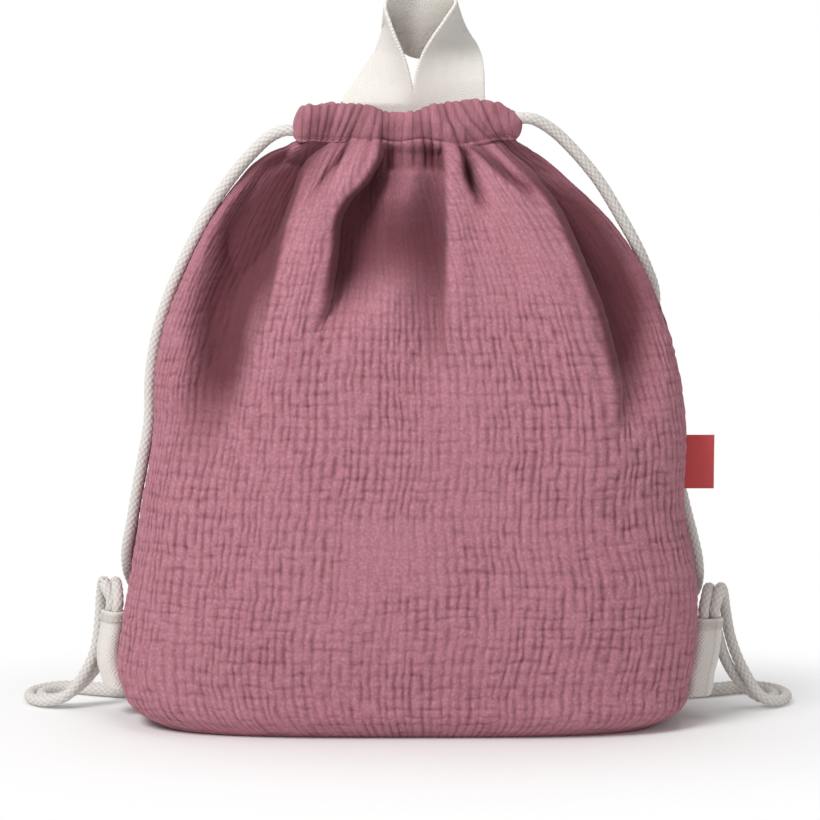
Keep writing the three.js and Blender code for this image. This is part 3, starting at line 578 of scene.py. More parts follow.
BACK_RIDGES = [
    {"width": 14, "places": [
        (284, -22, 0), (262, -30, 3), (230, -38, 4), (195, -44, 2), (160, -48, 0)]},
    {"width": 12, "places": [
        (284, 24, 0), (262, 30, 3), (232, 36, 4), (200, 40, 2), (165, 42, 0)]},
]

# Creases between the gathers of the collar: across at the heights in GATHER_HEIGHTS.
GATHER_HEIGHTS = (310, 300, 291, 282, 272, 262)
FRONT_GATHERS = np.array([
    (-56.5, -56.5, -56.5, -60, -67, -76), (-50.5, -51, -51.5, -54, -59, -66),
    (-46.3, -47, -48, -50.5, -54.5, -60), (-42.3, -43, -44.2, -47.5, -51.5, -56),
    (-38, -39.3, -41.8, -45.5, -49.5, -53.5), (-33.7, -36.4, -39.2, -43.2, -47.5, -51),
    (-29.3, -32.2, -36, -40.5, -45, -48), (-24.6, -28.6, -32.6, -36.8, -41.5, -45),
    (-20.6, -24.8, -28.6, -32.5, -37, -41), (-17, -20.5, -23.6, -27, -31.5, -36.5),
    (-14, -15.8, -18, -20.5, -25, -31), (-11.4, -12, -12.8, -13.4, -17, -24),
    (-8.5, -8.9, -9.4, -9.6, -10, -12), (-4.8, -5.6, -6.6, -6.8, -7, -7),
    (-0.8, -1.8, -2.6, -2.5, -2, -2), (3.2, 3, 2.8, 3.1, 3, 3), (5.6, 6.8, 8, 8.8, 9, 9),
    (9.9, 11.2, 12.2, 12.6, 12.6, 12.6), (14.2, 16.6, 17.3, 17.3, 17.2, 17.2),
    (17.4, 20.4, 25.3, 27.2, 28.6, 33), (21.4, 25.4, 33.2, 42, 52, 63), (25.4, 31.4, 40.4, 50, 60, 71),
    (31.1, 36.2, 43, 52.6, 63.4, 76), (35.6, 39.8, 44.4, 55, 68, 82), (42.6, 45.2, 48.2, 58.4, 73, 87),
    (49, 50.2, 52, 60.6, 76.2, 91), (56.5, 56.5, 56.5, 62, 78, 94)])


def even_gathers(count, spread, seed):
    """Creases of a half that the photograph doesn't show, at uneven distances, fanning out below the neck."""
    rng = np.random.default_rng(seed)
    places = np.cumsum(rng.uniform(0.6, 1.5, count + 1))
    places = (places - places[0]) / (places[-1] - places[0]) * 2 - 1
    sway = rng.uniform(-1.6, 1.6, count + 1)
    sway[0] = sway[-1] = 0
    rows = [places * COLLAR_END + sway, places * COLLAR_END + 0.4 * sway]
    for widen in (1, 1 + 0.5 * spread, 1 + 1.2 * spread, 1 + 2 * spread):
        rows.append(places * COLLAR_END * widen)
    return np.sort(np.stack(rows, axis=1), axis=0)


GATHERS = {"front": FRONT_GATHERS, "back": even_gathers(25, 0.3, BACK_GATHERS_SEED)}
FOLDS = {"front": FRONT_FOLDS, "back": BACK_FOLDS}
RIDGES = {"front": FRONT_RIDGES, "back": BACK_RIDGES}


def gather_height(half, x, height):
    """How far the rounded gathers stand proud between their creases. Some creases are shallow."""
    height = np.broadcast_to(height, x.shape)
    levels = np.array(GATHER_HEIGHTS[::-1], float)
    lines = np.stack([np.interp(height, levels, row[::-1]) for row in GATHERS[half]])
    width = np.maximum(np.diff(lines, axis=0), 0.3)
    rng = np.random.default_rng(SEEDS[half]["gathers"])
    shallow = rng.uniform(0, 0.75, len(lines))
    strength = rng.uniform(0.6, 1, len(width)).reshape([-1] + [1] * x.ndim)
    full = np.minimum(GATHER_SHARE * width, GATHER_LIMIT) * strength
    raised = np.zeros(x.shape)
    for i in range(len(width)):
        t = (x - lines[i]) / width[i]
        inside = (t >= 0) & (t <= 1)
        t = np.clip(t, 0, 1)
        left = np.minimum(full[i], full[max(i - 1, 0)]) * shallow[i]
        right = np.minimum(full[i], full[min(i + 1, len(width) - 1)]) * shallow[i + 1]
        foot = left * (1 - t) + right * t
        raised = np.where(inside, foot + (full[i] - foot) * np.sin(math.pi * t) ** 0.6, raised)
    return raised


def between_gathers(raised):
    """1 in the creases between the gathers and 0 on them."""
    return np.clip(1 - raised / 1.5, 0, 1)


def down_line(places, height):
    """At heights down a line of places: how far across it lies, its size, which is 0 beyond both ends, and
    whatever else each place holds."""
    levels, *columns = np.array(places, float)[::-1].T
    across, size, *rest = (smooth_values(levels, column, height) for column in columns)
    return across, np.maximum(size, 0) * (height > levels[0]) * (height < levels[-1]), *rest


def fold_shift(half, x, height):
    """(depth of the big folds, sideways push of their edges) at places on a panel."""
    depth = np.zeros(x.shape)
    push = np.zeros(x.shape)
    for fold in FOLDS[half]:
        line, valley, width = down_line(fold["places"], height)
        off = (x - line) * fold["toward"]
        sharp = fold["sharp"]
        depth += valley * bell(np.minimum(off, 0), sharp) * np.exp(-((np.maximum(off, 0) / width) ** 2.8))
        push += fold["toward"] * fold["lap"] * bell(off + sharp, 1.6 * sharp) * np.minimum(valley / 10, 1)
    return depth, push


def ridge_rise(half, x, height):
    """How far the ridges stand forward at places on a panel."""
    rise = np.zeros(x.shape)
    for ridge in RIDGES[half]:
        line, high = down_line(ridge["places"], height)
        rise += high * bell(x - line, ridge["width"])
    return rise


def crease_numbers(places, gaps, seed):
    """Running numbers of places between creases that lie at uneven distances: whole on the creases."""
    creases = -240 + np.cumsum(np.random.default_rng(seed).uniform(*gaps, 200))
    return np.interp(places, creases, np.arange(200.0))


def crinkle(u, v, seed):
    """Crinkled gauze at places on the flat cloth: its height, and of its upright and level creases the
    running number and the strength."""
    across = u + 1.1 * noise(u / 19, v / 21, seed) + 2.2 * noise(u / 80, v / 90, seed + 1)
    across += 0.7 * noise(u / 6, v / 7, seed + 9)
    along = v + 1.1 * noise(u / 16, v / 21, seed + 2) + 1.6 * noise(u / 60, v / 60, seed + 3)
    along += 0.8 * noise(u / 6, v / 6, seed + 10)
    upright = crease_numbers(across, UPRIGHT_GAPS, seed + 4)
    level = crease_numbers(along - 150, LEVEL_GAPS, seed + 5)
    patch = np.clip(0.88 + 0.4 * noise(u / 48, v / 42, seed + 11), 0.62, 1)
    strong = patch * np.clip(0.7 + 0.75 * noise(np.round(upright) * 5.37, v / 9, seed + 6), 0.12, 1)
    cross = patch * np.clip(0.5 + 0.85 * noise(u / 8, np.round(level) * 3.71, seed + 7), 0.05, 1)
    line = strong * bell(upright - np.round(upright), 0.24)
    bar = cross * bell(level - np.round(level), 0.22)
    height = 1 - np.maximum(line, 0.7 * bar) - 0.2 * line * bar + 0.4 * noise(u / 5, v / 6, seed + 8)
    return height, np.stack([upright, level, strong], axis=-1), cross


def half_outline(left, right, depth, square, count):
    """Half of the body's outline seen from above, from the left seam to the right one, evenly spaced."""
    angle = np.linspace(0, math.pi, 721)
    across = np.cos(angle)
    reach = np.where(across > 0, left, right)
    x = -np.sign(across) * reach * np.abs(across) ** (2 / square)
    y = depth * np.maximum(np.sin(angle), 0) ** (2 / square)
    along = np.concatenate([[0], np.cumsum(np.hypot(np.diff(x), np.diff(y)))])
    at = np.linspace(0, along[-1], count + 1)
    return np.interp(at, along, x), np.interp(at, along, y)


def neck_sway(half, x):
    """How far the stitch line under the collar wanders up and down."""
    return 2 * noise(x / 17, 0.5 * np.ones(x.shape), SEEDS[half]["sway"]) * step(56, 48, np.abs(x))


def neck_groove(height):
    return 0.7 * bell(height - NECK_EDGE, 1.0)


def neck_folds(half, x):
    """How far the big folds draw in the cloth at the stitch line."""
    folds, _ = fold_shift(half, x, BODY_HEIGHT)
    return np.minimum(1.6 * folds, NECK_FOLD_LIMIT)


def short_place(half, x):
    """1 where the short gathers at the middle of the front end in a puckered lip, and 0 beside it."""
    return plateau(x, -12, -7, 16, 21) if half == "front" else np.zeros(x.shape)


def body_depth(share):
    return CHANNEL_OUTER + (BODY_HALF_DEPTH - CHANNEL_OUTER) * share


def panel_grid(half, rows, base_rows, columns):
    """Points of a panel with its folds, all with Y to the outside, and their places on the flat cloth."""
    grid = []
    cloth_up = []
    edge = (seam_reach("left", 0), seam_reach("right", 0))
    deep_edge = body_depth(STATIONS[0, 3])
    for inset in np.linspace(1, 0, base_rows, endpoint=False):
        left, right = (e + (BOTTOM_SEAM - e) * inset for e in edge)
        x, y = half_outline(left, right, deep_edge * (1 - inset), STATIONS[0, 4], columns)
        grid.append(np.stack([x, y, np.zeros(columns + 1)], axis=1))
        cloth_up.append(deep_edge * (1 - inset))
    levels = BODY_HEIGHT * np.linspace(0, 1, rows - 2) ** 1.12
    for height in (*levels, 290.6, NECK_EDGE):
        depth, square = (smooth_values(STATIONS[:, 0], STATIONS[:, k], height / BODY_HEIGHT) for k in (3, 4))
        reach = (seam_reach(side, height) for side in SIDES)
        x, y = half_outline(*reach, body_depth(depth), square, columns)
        grid.append(np.stack([x, y, np.full(columns + 1, height)], axis=1))
        cloth_up.append(deep_edge + height)
    grid = np.array(grid)
    across, up = np.broadcast_arrays(np.linspace(-175, 175, columns + 1), np.array(cloth_up)[:, None])
    x, y, z = np.moveaxis(grid, -1, 0)
    depth, push = fold_shift(half, x, np.minimum(z, BODY_HEIGHT))
    depth += neck_groove(z)
    flattest = np.minimum(y, 2.5)
    wall = step(0, 14, y)
    lip = LIP_HEIGHT + 1.5 * noise(x / 7, 0.5 * np.ones(x.shape), LIP_SEED)
    tuck = LIP_TUCK * step(-1.2, 1.2, z - lip) * step(291, 283, z) * short_place(half, x)
    grid[..., 0] = (x + push * wall) * (1 - 0.05 * step(284, NECK_EDGE, z) * step(44, 54, np.abs(x)))
    grid[..., 1] = np.maximum(y - depth - tuck + ridge_rise(half, x, z) * wall, flattest)
    return grid, across, up


def panel_calm(half, x, z, valley, pouch):
    """The strength of the crinkle: less in a patch low on the front, up the neck and in the valleys."""
    calm = np.ones(x.shape)
    if half == "front":
        calm -= 0.6 * plateau(x, -36, -24, 17, 29) * plateau(z, 68, 79, 105, 116)
    calm *= (1 - 0.35 * step(185, 235, z)) * (1 - 0.7 * step(266, 288, z))
    return calm * (1 - 0.55 * np.clip(valley / 20, 0, 1)) * (1 - 0.5 * pouch)


def make_panel(half):
    grid, u, v = panel_grid(half, *PANEL_GRID)
    x, y, z = np.moveaxis(grid, -1, 0)
    height, creases, cross = crinkle(u, v, SEEDS[half]["crinkle"])
    valley, _ = fold_shift(half, x, z)
    short = short_place(half, x)
    pouch = short * plateau(z, 205, 225, 275, 285)
    calm = panel_calm(half, x, z, valley, pouch)
    near_neck = step(248, 286, z) * (1 - short) + 1.7 * step(275, 280, z) * short
    near_neck *= step(0, 6, y)
    gathers = gather_height(half, x, z)
    off_floor = step(1, 14, z)
    swell = SWELL * noise(u / 60, v / 70, SEEDS[half]["swell"]) * step(290, 240, z) * step(2, 30, y)
    seam = -SEAM_DEPTH * bell(y, 1.6)
    crinkled = CRINKLE_HEIGHT * (height - 0.6) * calm * step(290, 283, z)
    raised = (crinkled + swell + seam) * off_floor
    raised += (gathers - 0.8) * near_neck
    points = grid + grid_normals(grid) * raised[..., None] * (z >= 0.01)[..., None]
    points[..., 1] = np.maximum(points[..., 1], 0.15)
    points[:, (0, -1), 1] = -0.3
    points[..., 2] = np.clip(points[..., 2], 0.02, NECK_EDGE)
    points[..., 2] += neck_sway(half, x) * step(283, 290, points[..., 2])
    points[..., 1] *= HALVES[half]
    # shade is painted shade in the colour: darkest deep in the big folds, a little darker on the pouch and up
    # toward the neck, more on the puckered lip. gather darkens the creases between the gathers near the neck
    # with painted shade.
    shade = valley / 19 + 0.1 * pouch + 0.1 * step(272, 288, z)
    shade += 0.5 * plateau(z, 274, 278, 286, 292) * short
    panel = add_mesh(f"{half}_panel_cloth", points, grid_faces(*u.shape, turned=half == "back"), "gauze",
                     cloth=cloth_places(u, v), creases=creases, cross=cross, calm=calm,
                     gather=between_gathers(gathers) * near_neck, valley=np.clip(shade, 0, 1))
    dress(panel, "bag", f"{half}_panel")
    return panel


def make_lining(half):
    """The inner face of a panel, seen through the open mouth."""
    grid, u, v = panel_grid(half, *LINING_GRID)
    points = grid - LINING_INSET * grid_normals(grid)
    points[..., 2] = np.clip(points[..., 2], 1.5, BODY_HEIGHT - 0.5)
    points[..., 1] = np.maximum(points[..., 1], 0.2)
    points[:, (0, -1), 1] = -0.2
    points[..., 1] *= HALVES[half]
    # An even painted shade darkens its colour, for the inside of the bag.
    lining = add_mesh(f"{half}_panel_lining", points, grid_faces(*u.shape, turned=half == "front"), "gauze",
                      cloth=cloth_places(u, v), valley=np.full(u.shape, 0.5))
    dress(lining, "bag")


# The collar's top line along X
COLLAR_TOP = {
    "front": [
        (-56.5, 304), (-53, 306.4), (-42, 308), (-31, 308.4), (-18, 307.6), (-11, 305), (-5, 304.2),
        (2, 304.4), (8, 306.6), (15, 308.4), (26, 309.8), (35, 310.3), (41, 309.4), (47, 306.6),
        (52.5, 304), (56.5, 301.5)],
    "back": [
        (-56.5, 303), (-50, 306.5), (-34, 309), (-20, 308.4), (-6, 307.6), (10, 308.6), (24, 307.8),
        (38, 309.2), (50, 306.6), (56.5, 303)],
}


def channel_section():
    """The casing's section, from its foot up the outer face, over the top and down the inner face: shares of
    its depth and height, and the way out of its surface."""
    shoulder = CHANNEL_SHOULDER
    rows = [(1, shoulder * k / 22, 1, 0) for k in range(22)]
    for angle in np.linspace(0, math.pi, 21):
        high = shoulder + (1 - shoulder) * math.sin(angle)
        rows.append((0.5 + 0.5 * math.cos(angle), high, math.cos(angle), math.sin(angle)))
    rows += [(0, shoulder * (1 - k / 8), -1, 0) for k in range(1, 9)]
    rows += [(k / 5, 0, 0, -1) for k in range(1, 5)]
    return np.array(rows, float).T


def make_channel(half):
    """One half of the collar: a gathered casing whose ends are rounded in round the cords."""
    deep, high, out_deep, out_high = channel_section()
    x = np.linspace(-COLLAR_END, COLLAR_END, CHANNEL_STATIONS + 1)[:, None]
    top = smooth_values(*np.array(COLLAR_TOP[half], float).T, x)
    rounding, hole = (np.where(x < 0, ends["left"], ends["right"]) for ends in (END_ROUNDING, CORD_HEIGHT))
    near = np.clip((np.abs(x) - (COLLAR_END - rounding)) / rounding, 0, 1)
    keep = (1 - near**2.4) ** (1 / 2.4)
    y = CHANNEL_INNER + (CHANNEL_OUTER - CHANNEL_INNER) * deep
    y = CORD_DEPTH + (y - CORD_DEPTH) * keep
    z = CHANNEL_FOOT + (top - CHANNEL_FOOT) * high
    z = hole + (z - hole) * keep
    x = np.broadcast_to(x, z.shape)
    gathers = gather_height(half, x, z)
    face = np.clip(out_deep, 0, 1)
    outer = np.clip(0.15 + out_deep + 0.75 * np.maximum(out_high, 0), 0, 1)
    u = CLOTH_PER_LENGTH * x
    v = np.linspace(330, 350, len(deep))
    wrinkle = noise(u / 9, v / 6, SEEDS[half]["wrinkle"]) * step(290, 296, z)
    raised = ((gathers - 0.8) * outer + 0.3 * wrinkle) * (1 - 0.85 * near)
    raised -= (neck_groove(z) + 0.2 * step(292, 291, z)) * face
    raised -= neck_folds(half, x) * step(301, 290, z) * face
    z = z + neck_sway(half, x) * step(297, 291, z)
    y = np.maximum(y + raised * out_deep, CHANNEL_INNER - 0.2) * HALVES[half]
    # shade is painted shade in the colour, with a patchy random tone in it: the collar darker than the body
    # all over, more on its right half and toward its foot. gather darkens the creases between its gathers
    # with painted shade.
    shade = 0.22 + 0.2 * noise(x / 10, z / 14, SEEDS[half]["shade"])
    shade += 0.08 * step(0, 45, x) + 0.1 * step(301, 291, z)
    points = np.stack([x, y, z + raised * out_high], axis=-1)
    faces = grid_faces(*x.shape, closed=True, turned=half == "front")
    collar = add_mesh(f"{half}_collar_cloth", points, faces, "gauze", cloth=cloth_places(u, v),
                      gather=between_gathers(gathers) * outer, valley=np.clip(shade, 0, 1))
    dress(collar, f"{half}_collar", f"{half}_channel")


def make_stitches(name, places, ways, normals, size, look, body):
    """A row of short rounded threads of a size (length, radius) that lie on the cloth, all one mesh."""
    rings = 7
    sides = 8
    length, radius = size
    t = np.linspace(-1, 1, rings)[:, None, None]
    swell = radius * np.maximum(1 - t**4, 0.05) ** 0.5
    angle = (2 * math.pi * np.arange(sides) / sides)[:, None]
    stitches = []
    faces = []
    for place, way, normal in zip(*np.broadcast_arrays(places, ways, normals)):
        way = unit(way)
        side = unit(np.cross(way, normal))
        out = np.cos(angle) * side + np.sin(angle) * np.cross(side, way)
        first = len(stitches) * rings * sides
        faces += [[first + corner for corner in face] for face in capped_tube(rings, sides)]
        stitches.append(place + way * t * length / 2 + swell * out)
    dress(add_mesh(name, stitches, faces, look), body)


def make_neck_stitches(half):
    x = np.arange(-50, 50.1, NECK_STITCH_PITCH)
    deep = CHANNEL_OUTER - 1.4 + gather_height(half, x, NECK_EDGE) - neck_folds(half, x)
    places = np.stack([x, HALVES[half] * deep, NECK_STITCH_HEIGHT + neck_sway(half, x)], axis=1)
    if half == "front":
        places = places[(x < -18) | (x > 47)]  # the gathers between them hide the thread
    make_stitches(f"{half}_neck_stitches", places, np.gradient(places, axis=0), (0, HALVES[half], 0),
                  NECK_STITCH, "rose_thread", f"{half}_collar")


def ribbon(name, middle, normals, thickness, along, across, rounding=6):
    """A closed strip of woven webbing about a grid of middle points, with rounded edges along both sides."""
    half = thickness / 2
    columns = range(middle.shape[1])
    side = unit(middle[:, -1] - middle[:, 0])
    angles = [math.pi * k / rounding for k in range(1, rounding)]
    ring = [middle[:, j] + half * normals[:, j] for j in columns]
    ring += [middle[:, -1] + half * (math.cos(a) * normals[:, -1] + math.sin(a) * side) for a in angles]
    ring += [middle[:, j] - half * normals[:, j] for j in reversed(columns)]
    ring += [middle[:, 0] - half * (math.cos(a) * normals[:, 0] + math.sin(a) * side) for a in angles]
    width = np.array([*across, *[across[-1]] * len(angles), *across[::-1], *[across[0]] * len(angles)])
    strip = add_mesh(name, np.stack(ring, axis=1), capped_tube(len(middle), len(ring)), "webbing",
                     cloth=cloth_places(width, along[:, None]))
    return strip


# The carry handle: its inner edge at shares of its rise (across, back, up), then how far the strip is turned
# out of the front plane and how far its outer edge dips, in degrees.
HANDLE = [
    (0, 0, 0, 0, 0), (-0.02, 0, 0.17, 38, -3), (-0.08, 0, 0.4, 66, -8), (-0.19, 0.01, 0.68, 84, -4),
    (-0.24, 0.06, 0.88, 88, 20), (-0.15, 0.15, 0.97, 90, 48), (0.06, 0.26, 1, 90, 72),
    (0.28, 0.17, 0.97, 90, 52), (0.36, 0.08, 0.9, 80, 26), (0.27, 0.02, 0.74, 66, 14),
    (0.16, 0, 0.58, 49, 6), (0.07, 0, 0.42, 30, 2), (0.01, 0, 0.2, 10, 0), (0, 0, 0, 0, 0)]
HANDLE_TOP = 6  # the station where the strip passes from the left leg to the right one


def make_handle():
    edge = []
    out = []
    for i, (across, back, up, turn, dip) in enumerate(HANDLE):
        side = -1 if i <= HANDLE_TOP else 1
        gap = 0 if i == HANDLE_TOP else side * HANDLE_GAP
        turn = math.radians(turn)
        dip = math.radians(dip)
        edge.append((HANDLE_SHIFT + gap + across * HANDLE_RISE, HANDLE_DEPTH + back * HANDLE_RISE,
                     HANDLE_FOOT + up * (HANDLE_RISE - HANDLE_TOP_INSET)))
        out.append((side * math.cos(turn) * math.cos(dip), math.sin(turn) * math.cos(dip), -math.sin(dip)))
    edge = smooth_route(edge, 14)
    out = smooth_route(out, 14)
    tail = np.arange(HANDLE_TAIL, 0, -0.9)[:, None] * np.array([[0, 0, -1.0]])
    edge = np.vstack([edge[0] + tail, edge, edge[-1] + tail[::-1]])
    out = unit(np.vstack([np.repeat(out[:1], len(tail), 0), out, np.repeat(out[-1:], len(tail), 0)]))
    across = WEBBING_WIDTH * np.linspace(0, 1, 25)
    middle = edge[:, None] + out[:, None] * across[:, None]
    along = lengths_along(middle[:, 12])
    handle = ribbon("carry_handle_webbing", middle, -grid_normals(middle), WEBBING_THICKNESS, along, across)
    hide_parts("carry_handle")
    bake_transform(handle)


def make_handle_end(side):
    """The sewn-down end of one leg of the handle, inside the mouth, with its two rows of stitches."""

    def place(at):
        return HANDLE_SHIFT + SIDES[side] * (HANDLE_GAP + at)

    heights = np.linspace(*HANDLE_END_HEIGHTS, 24)
    across = WEBBING_WIDTH * np.linspace(0, 1, 13)
    middle = np.stack(np.broadcast_arrays(place(across), HANDLE_DEPTH, heights[:, None]), axis=-1)
    normals = np.broadcast_to((0, -1.0, 0), middle.shape)
    end = ribbon(f"handle_{side}_end_webbing", middle, normals, WEBBING_THICKNESS - 0.5, heights, across)
    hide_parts(f"handle_{side}_end")
    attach(end, "back_collar")
    face = HANDLE_DEPTH - WEBBING_THICKNESS / 2
    places = [(place(at), face, height) for height in HANDLE_STITCH_ROWS
              for at in np.arange(2.6, WEBBING_WIDTH - 2, 3.3)]
    make_stitches(f"handle_{side}_stitches", places, (1.0, 0, 0), (0, -1.0, 0), HANDLE_STITCH,
                  "white_thread", "back_collar")


def tab_outline(inset, count=16):
    """Places (along, across) round a tab's section, inset from its outer faces."""
    radius = TAB_DEPTH / 2 - inset
    points = []
    straight = TAB_REACH - TAB_DEPTH
    for middle, start in ((straight, -math.pi / 2), (0, math.pi / 2)):
        for k in range(count + 1):
            angle = start + math.pi * k / count
            points.append((middle + radius * math.cos(angle), radius * math.sin(angle)))
    joined = []
    for a, b in zip(points, points[1:] + points[:1]):
        joined.append(a)
        if math.dist(a, b) > 2:
            for k in range(1, 6):
                joined.append((a[0] + (b[0] - a[0]) * k / 6, a[1] + (b[1] - a[1]) * k / 6))
    return joined


def make_tab(side):
    """Webbing folded round the cord ends, with a hem at its top."""
    rise = np.array([0, 0.25, 0.7, *np.linspace(1.5, HEM_FOOT - 0.6, 34), HEM_FOOT, HEM_FOOT + 0.5,
                     *(TAB_HEIGHT - below for below in (3.6, 2, 0.6, 0.15, 0))])
    rim = np.maximum(1 - np.minimum(rise, TAB_HEIGHT - rise) / 0.7, 0) ** 2
    proud = HEM_PROUD * step(HEM_FOOT - 0.3, HEM_FOOT + 0.5, rise)
    proud -= 0.5 * rim + 0.25 * bell(rise - HEM_FOOT - 0.2, 0.5)
    walls = [*zip(rise, -proud), *zip(rise[::-1], TAB_THICKNESS + 0.3 * rim[::-1])]
    points = np.array([[tab_place(side, *place, TAB_FOOT[side] + high) for place in tab_outline(inset)]
                       for high, inset in walls])
    inner = np.array(tab_outline(TAB_THICKNESS))
    around = lengths_along(np.vstack([inner, inner[:1]]))[:-1]
    both = np.concatenate([rise, rise[::-1]])[:, None]
    # The hem is darkened with painted shade, up to just under the top edge.
    band = plateau(both, HEM_FOOT - 0.4, HEM_FOOT + 0.4, TAB_HEIGHT - 1.6, TAB_HEIGHT)
    faces = grid_faces(*points.shape[:2], closed=True, looped=True, turned=side == "left")
    tab = add_mesh(f"{side}_tab_webbing", points, faces, "webbing", cloth=cloth_places(0.85 * both, around),
                   band=np.broadcast_to(band, points.shape[:2]))
    dress(tab, f"{side}_corner", f"{side}_tab")


def make_tab_stitches(side):
    height = TAB_FOOT[side] + HEM_FOOT + TAB_STITCH_RISE
    ring = np.array([tab_place(side, *place, height) for place in tab_outline(-TAB_STITCH_PROUD)])
    ways = (np.roll(ring, -1, axis=0) - ring)[::3]
    outs = np.cross(ways, (0, 0, 1.0))
    middle = tab_place(side, (TAB_REACH - TAB_DEPTH) / 2, 0, height)
    outs *= np.sign(np.sum(outs * (ring[::3] - middle), axis=1, keepdims=True))
    make_stitches(f"{side}_tab_stitches", ring[::3], ways, outs, TAB_STITCH, "white_thread",
                  f"{side}_corner")


def make_label():
    """A woven strip folded on its outer edge, with both its ends in the right side seam."""
    seam = max(seam_reach("right", LABEL_FOOT), seam_reach("right", LABEL_TOP)) + SEAM_GAP
    along = np.linspace(0, LABEL_REACH, 31)
    layer = LABEL_LAYER * np.minimum(1, 0.75 + along / 20)
    angle = math.pi / 2 - math.pi * np.arange(1, 8) / 8
    out = np.concatenate([along, LABEL_REACH + LABEL_FOLD * np.cos(angle), along[::-1]]) - LABEL_SUNK
    back = np.concatenate([layer, LABEL_LAYER * np.sin(angle), -layer[::-1]])
    heights = np.linspace(LABEL_FOOT, LABEL_TOP, 44)[:, None]
    rim = 0.24 * bell(np.minimum(heights - LABEL_FOOT, LABEL_TOP - heights), 0.7)
    bow = 0.3 * np.sin(np.linspace(0, math.pi, len(heights)))[:, None]
    depth = back * (1 + rim) + bow * (out / LABEL_REACH) ** 2
    points = np.stack(np.broadcast_arrays(seam + out, depth, heights), axis=-1)
    label = add_mesh("side_label_ribbon", points, capped_tube(*depth.shape), "label",
                     cloth=cloth_places(out, heights))
    dress(label, "label", "side_label")


# Materials


def tree_of(*values):
    """The node tree of the sockets among the values."""
    return next(value.id_data for value in values if isinstance(value, bpy.types.NodeSocket))


def add_node(tree, kind, inputs=(), **settings):
    made = tree.nodes.new("ShaderNode" + kind)
    for key, value in settings.items():
        setattr(made, key, value)
    for key, value in dict(inputs).items():
        if isinstance(value, bpy.types.NodeSocket):
            tree.links.new(value, made.inputs[key])
        else:
            made.inputs[key].default_value = value
    return made


def maths(operation, a, b=0.0, clamp=False):
    made = add_node(tree_of(a, b), "Math", {0: a, 1: b}, operation=operation, use_clamp=clamp)
    return made.outputs[0]


def plus(a, b, clamp=False):
    return maths("ADD", a, b, clamp)


def times(a, b, clamp=False):
    return maths("MULTIPLY", a, b, clamp)


def mixed(share, a, b):
    return add_node(tree_of(share), "Mix", {0: share, 6: a, 7: b}, data_type="RGBA").outputs[2]


def attribute(tree, name, output="Fac"):
    return add_node(tree, "Attribute", attribute_name=name).outputs[output]


def threads(cloth, axis, period):
    """A wave across the cloth with one thread to a period in metres, from 0 to 1."""
    inputs = {"Vector": cloth, "Scale": 2 * math.pi / (20 * period), "Distortion": 0.4, "Detail": 1.0}
    return add_node(tree_of(cloth), "TexWave", inputs, bands_direction=axis).outputs["Fac"]


def cloudy(cloth, scale, detail=3.0):
    inputs = {"Vector": cloth, "Scale": scale, "Detail": detail}
    return add_node(tree_of(cloth), "TexNoise", inputs).outputs["Fac"]


def new_material(name, roughness, sheen, sheen_tint):
    made = bpy.data.materials.new(name)
    made.use_nodes = True
    shader = made.node_tree.nodes["Principled BSDF"]
    shader.inputs["Roughness"].default_value = roughness
    shader.inputs["Specular IOR Level"].default_value = 0.25
    shader.inputs["Sheen Weight"].default_value = sheen
    shader.inputs["Sheen Roughness"].default_value = 0.55
    shader.inputs["Sheen Tint"].default_value = sheen_tint
    return made, made.node_tree, shader


def finish_material(shader, colour, height, strength, distance):
    tree = tree_of(colour)
    tree.links.new(colour, shader.inputs["Base Color"])
    bump = add_node(tree, "Bump", {"Strength": strength, "Distance": distance, "Height": height})
    tree.links.new(bump.outputs[0], shader.inputs["Normal"])


def crease_lines(number, strength, width):
    """The strength on the creases, whose numbers are whole, falling to 0 over the width beside them."""
    inputs = {"Value": maths("PINGPONG", number, 0.5), "From Min": 0.0, "From Max": width, "To Min": 1.0,
              "To Max": 0.0}
    line = add_node(tree_of(number), "MapRange", inputs, interpolation_type="SMOOTHSTEP")
    return times(line.outputs[0], strength)


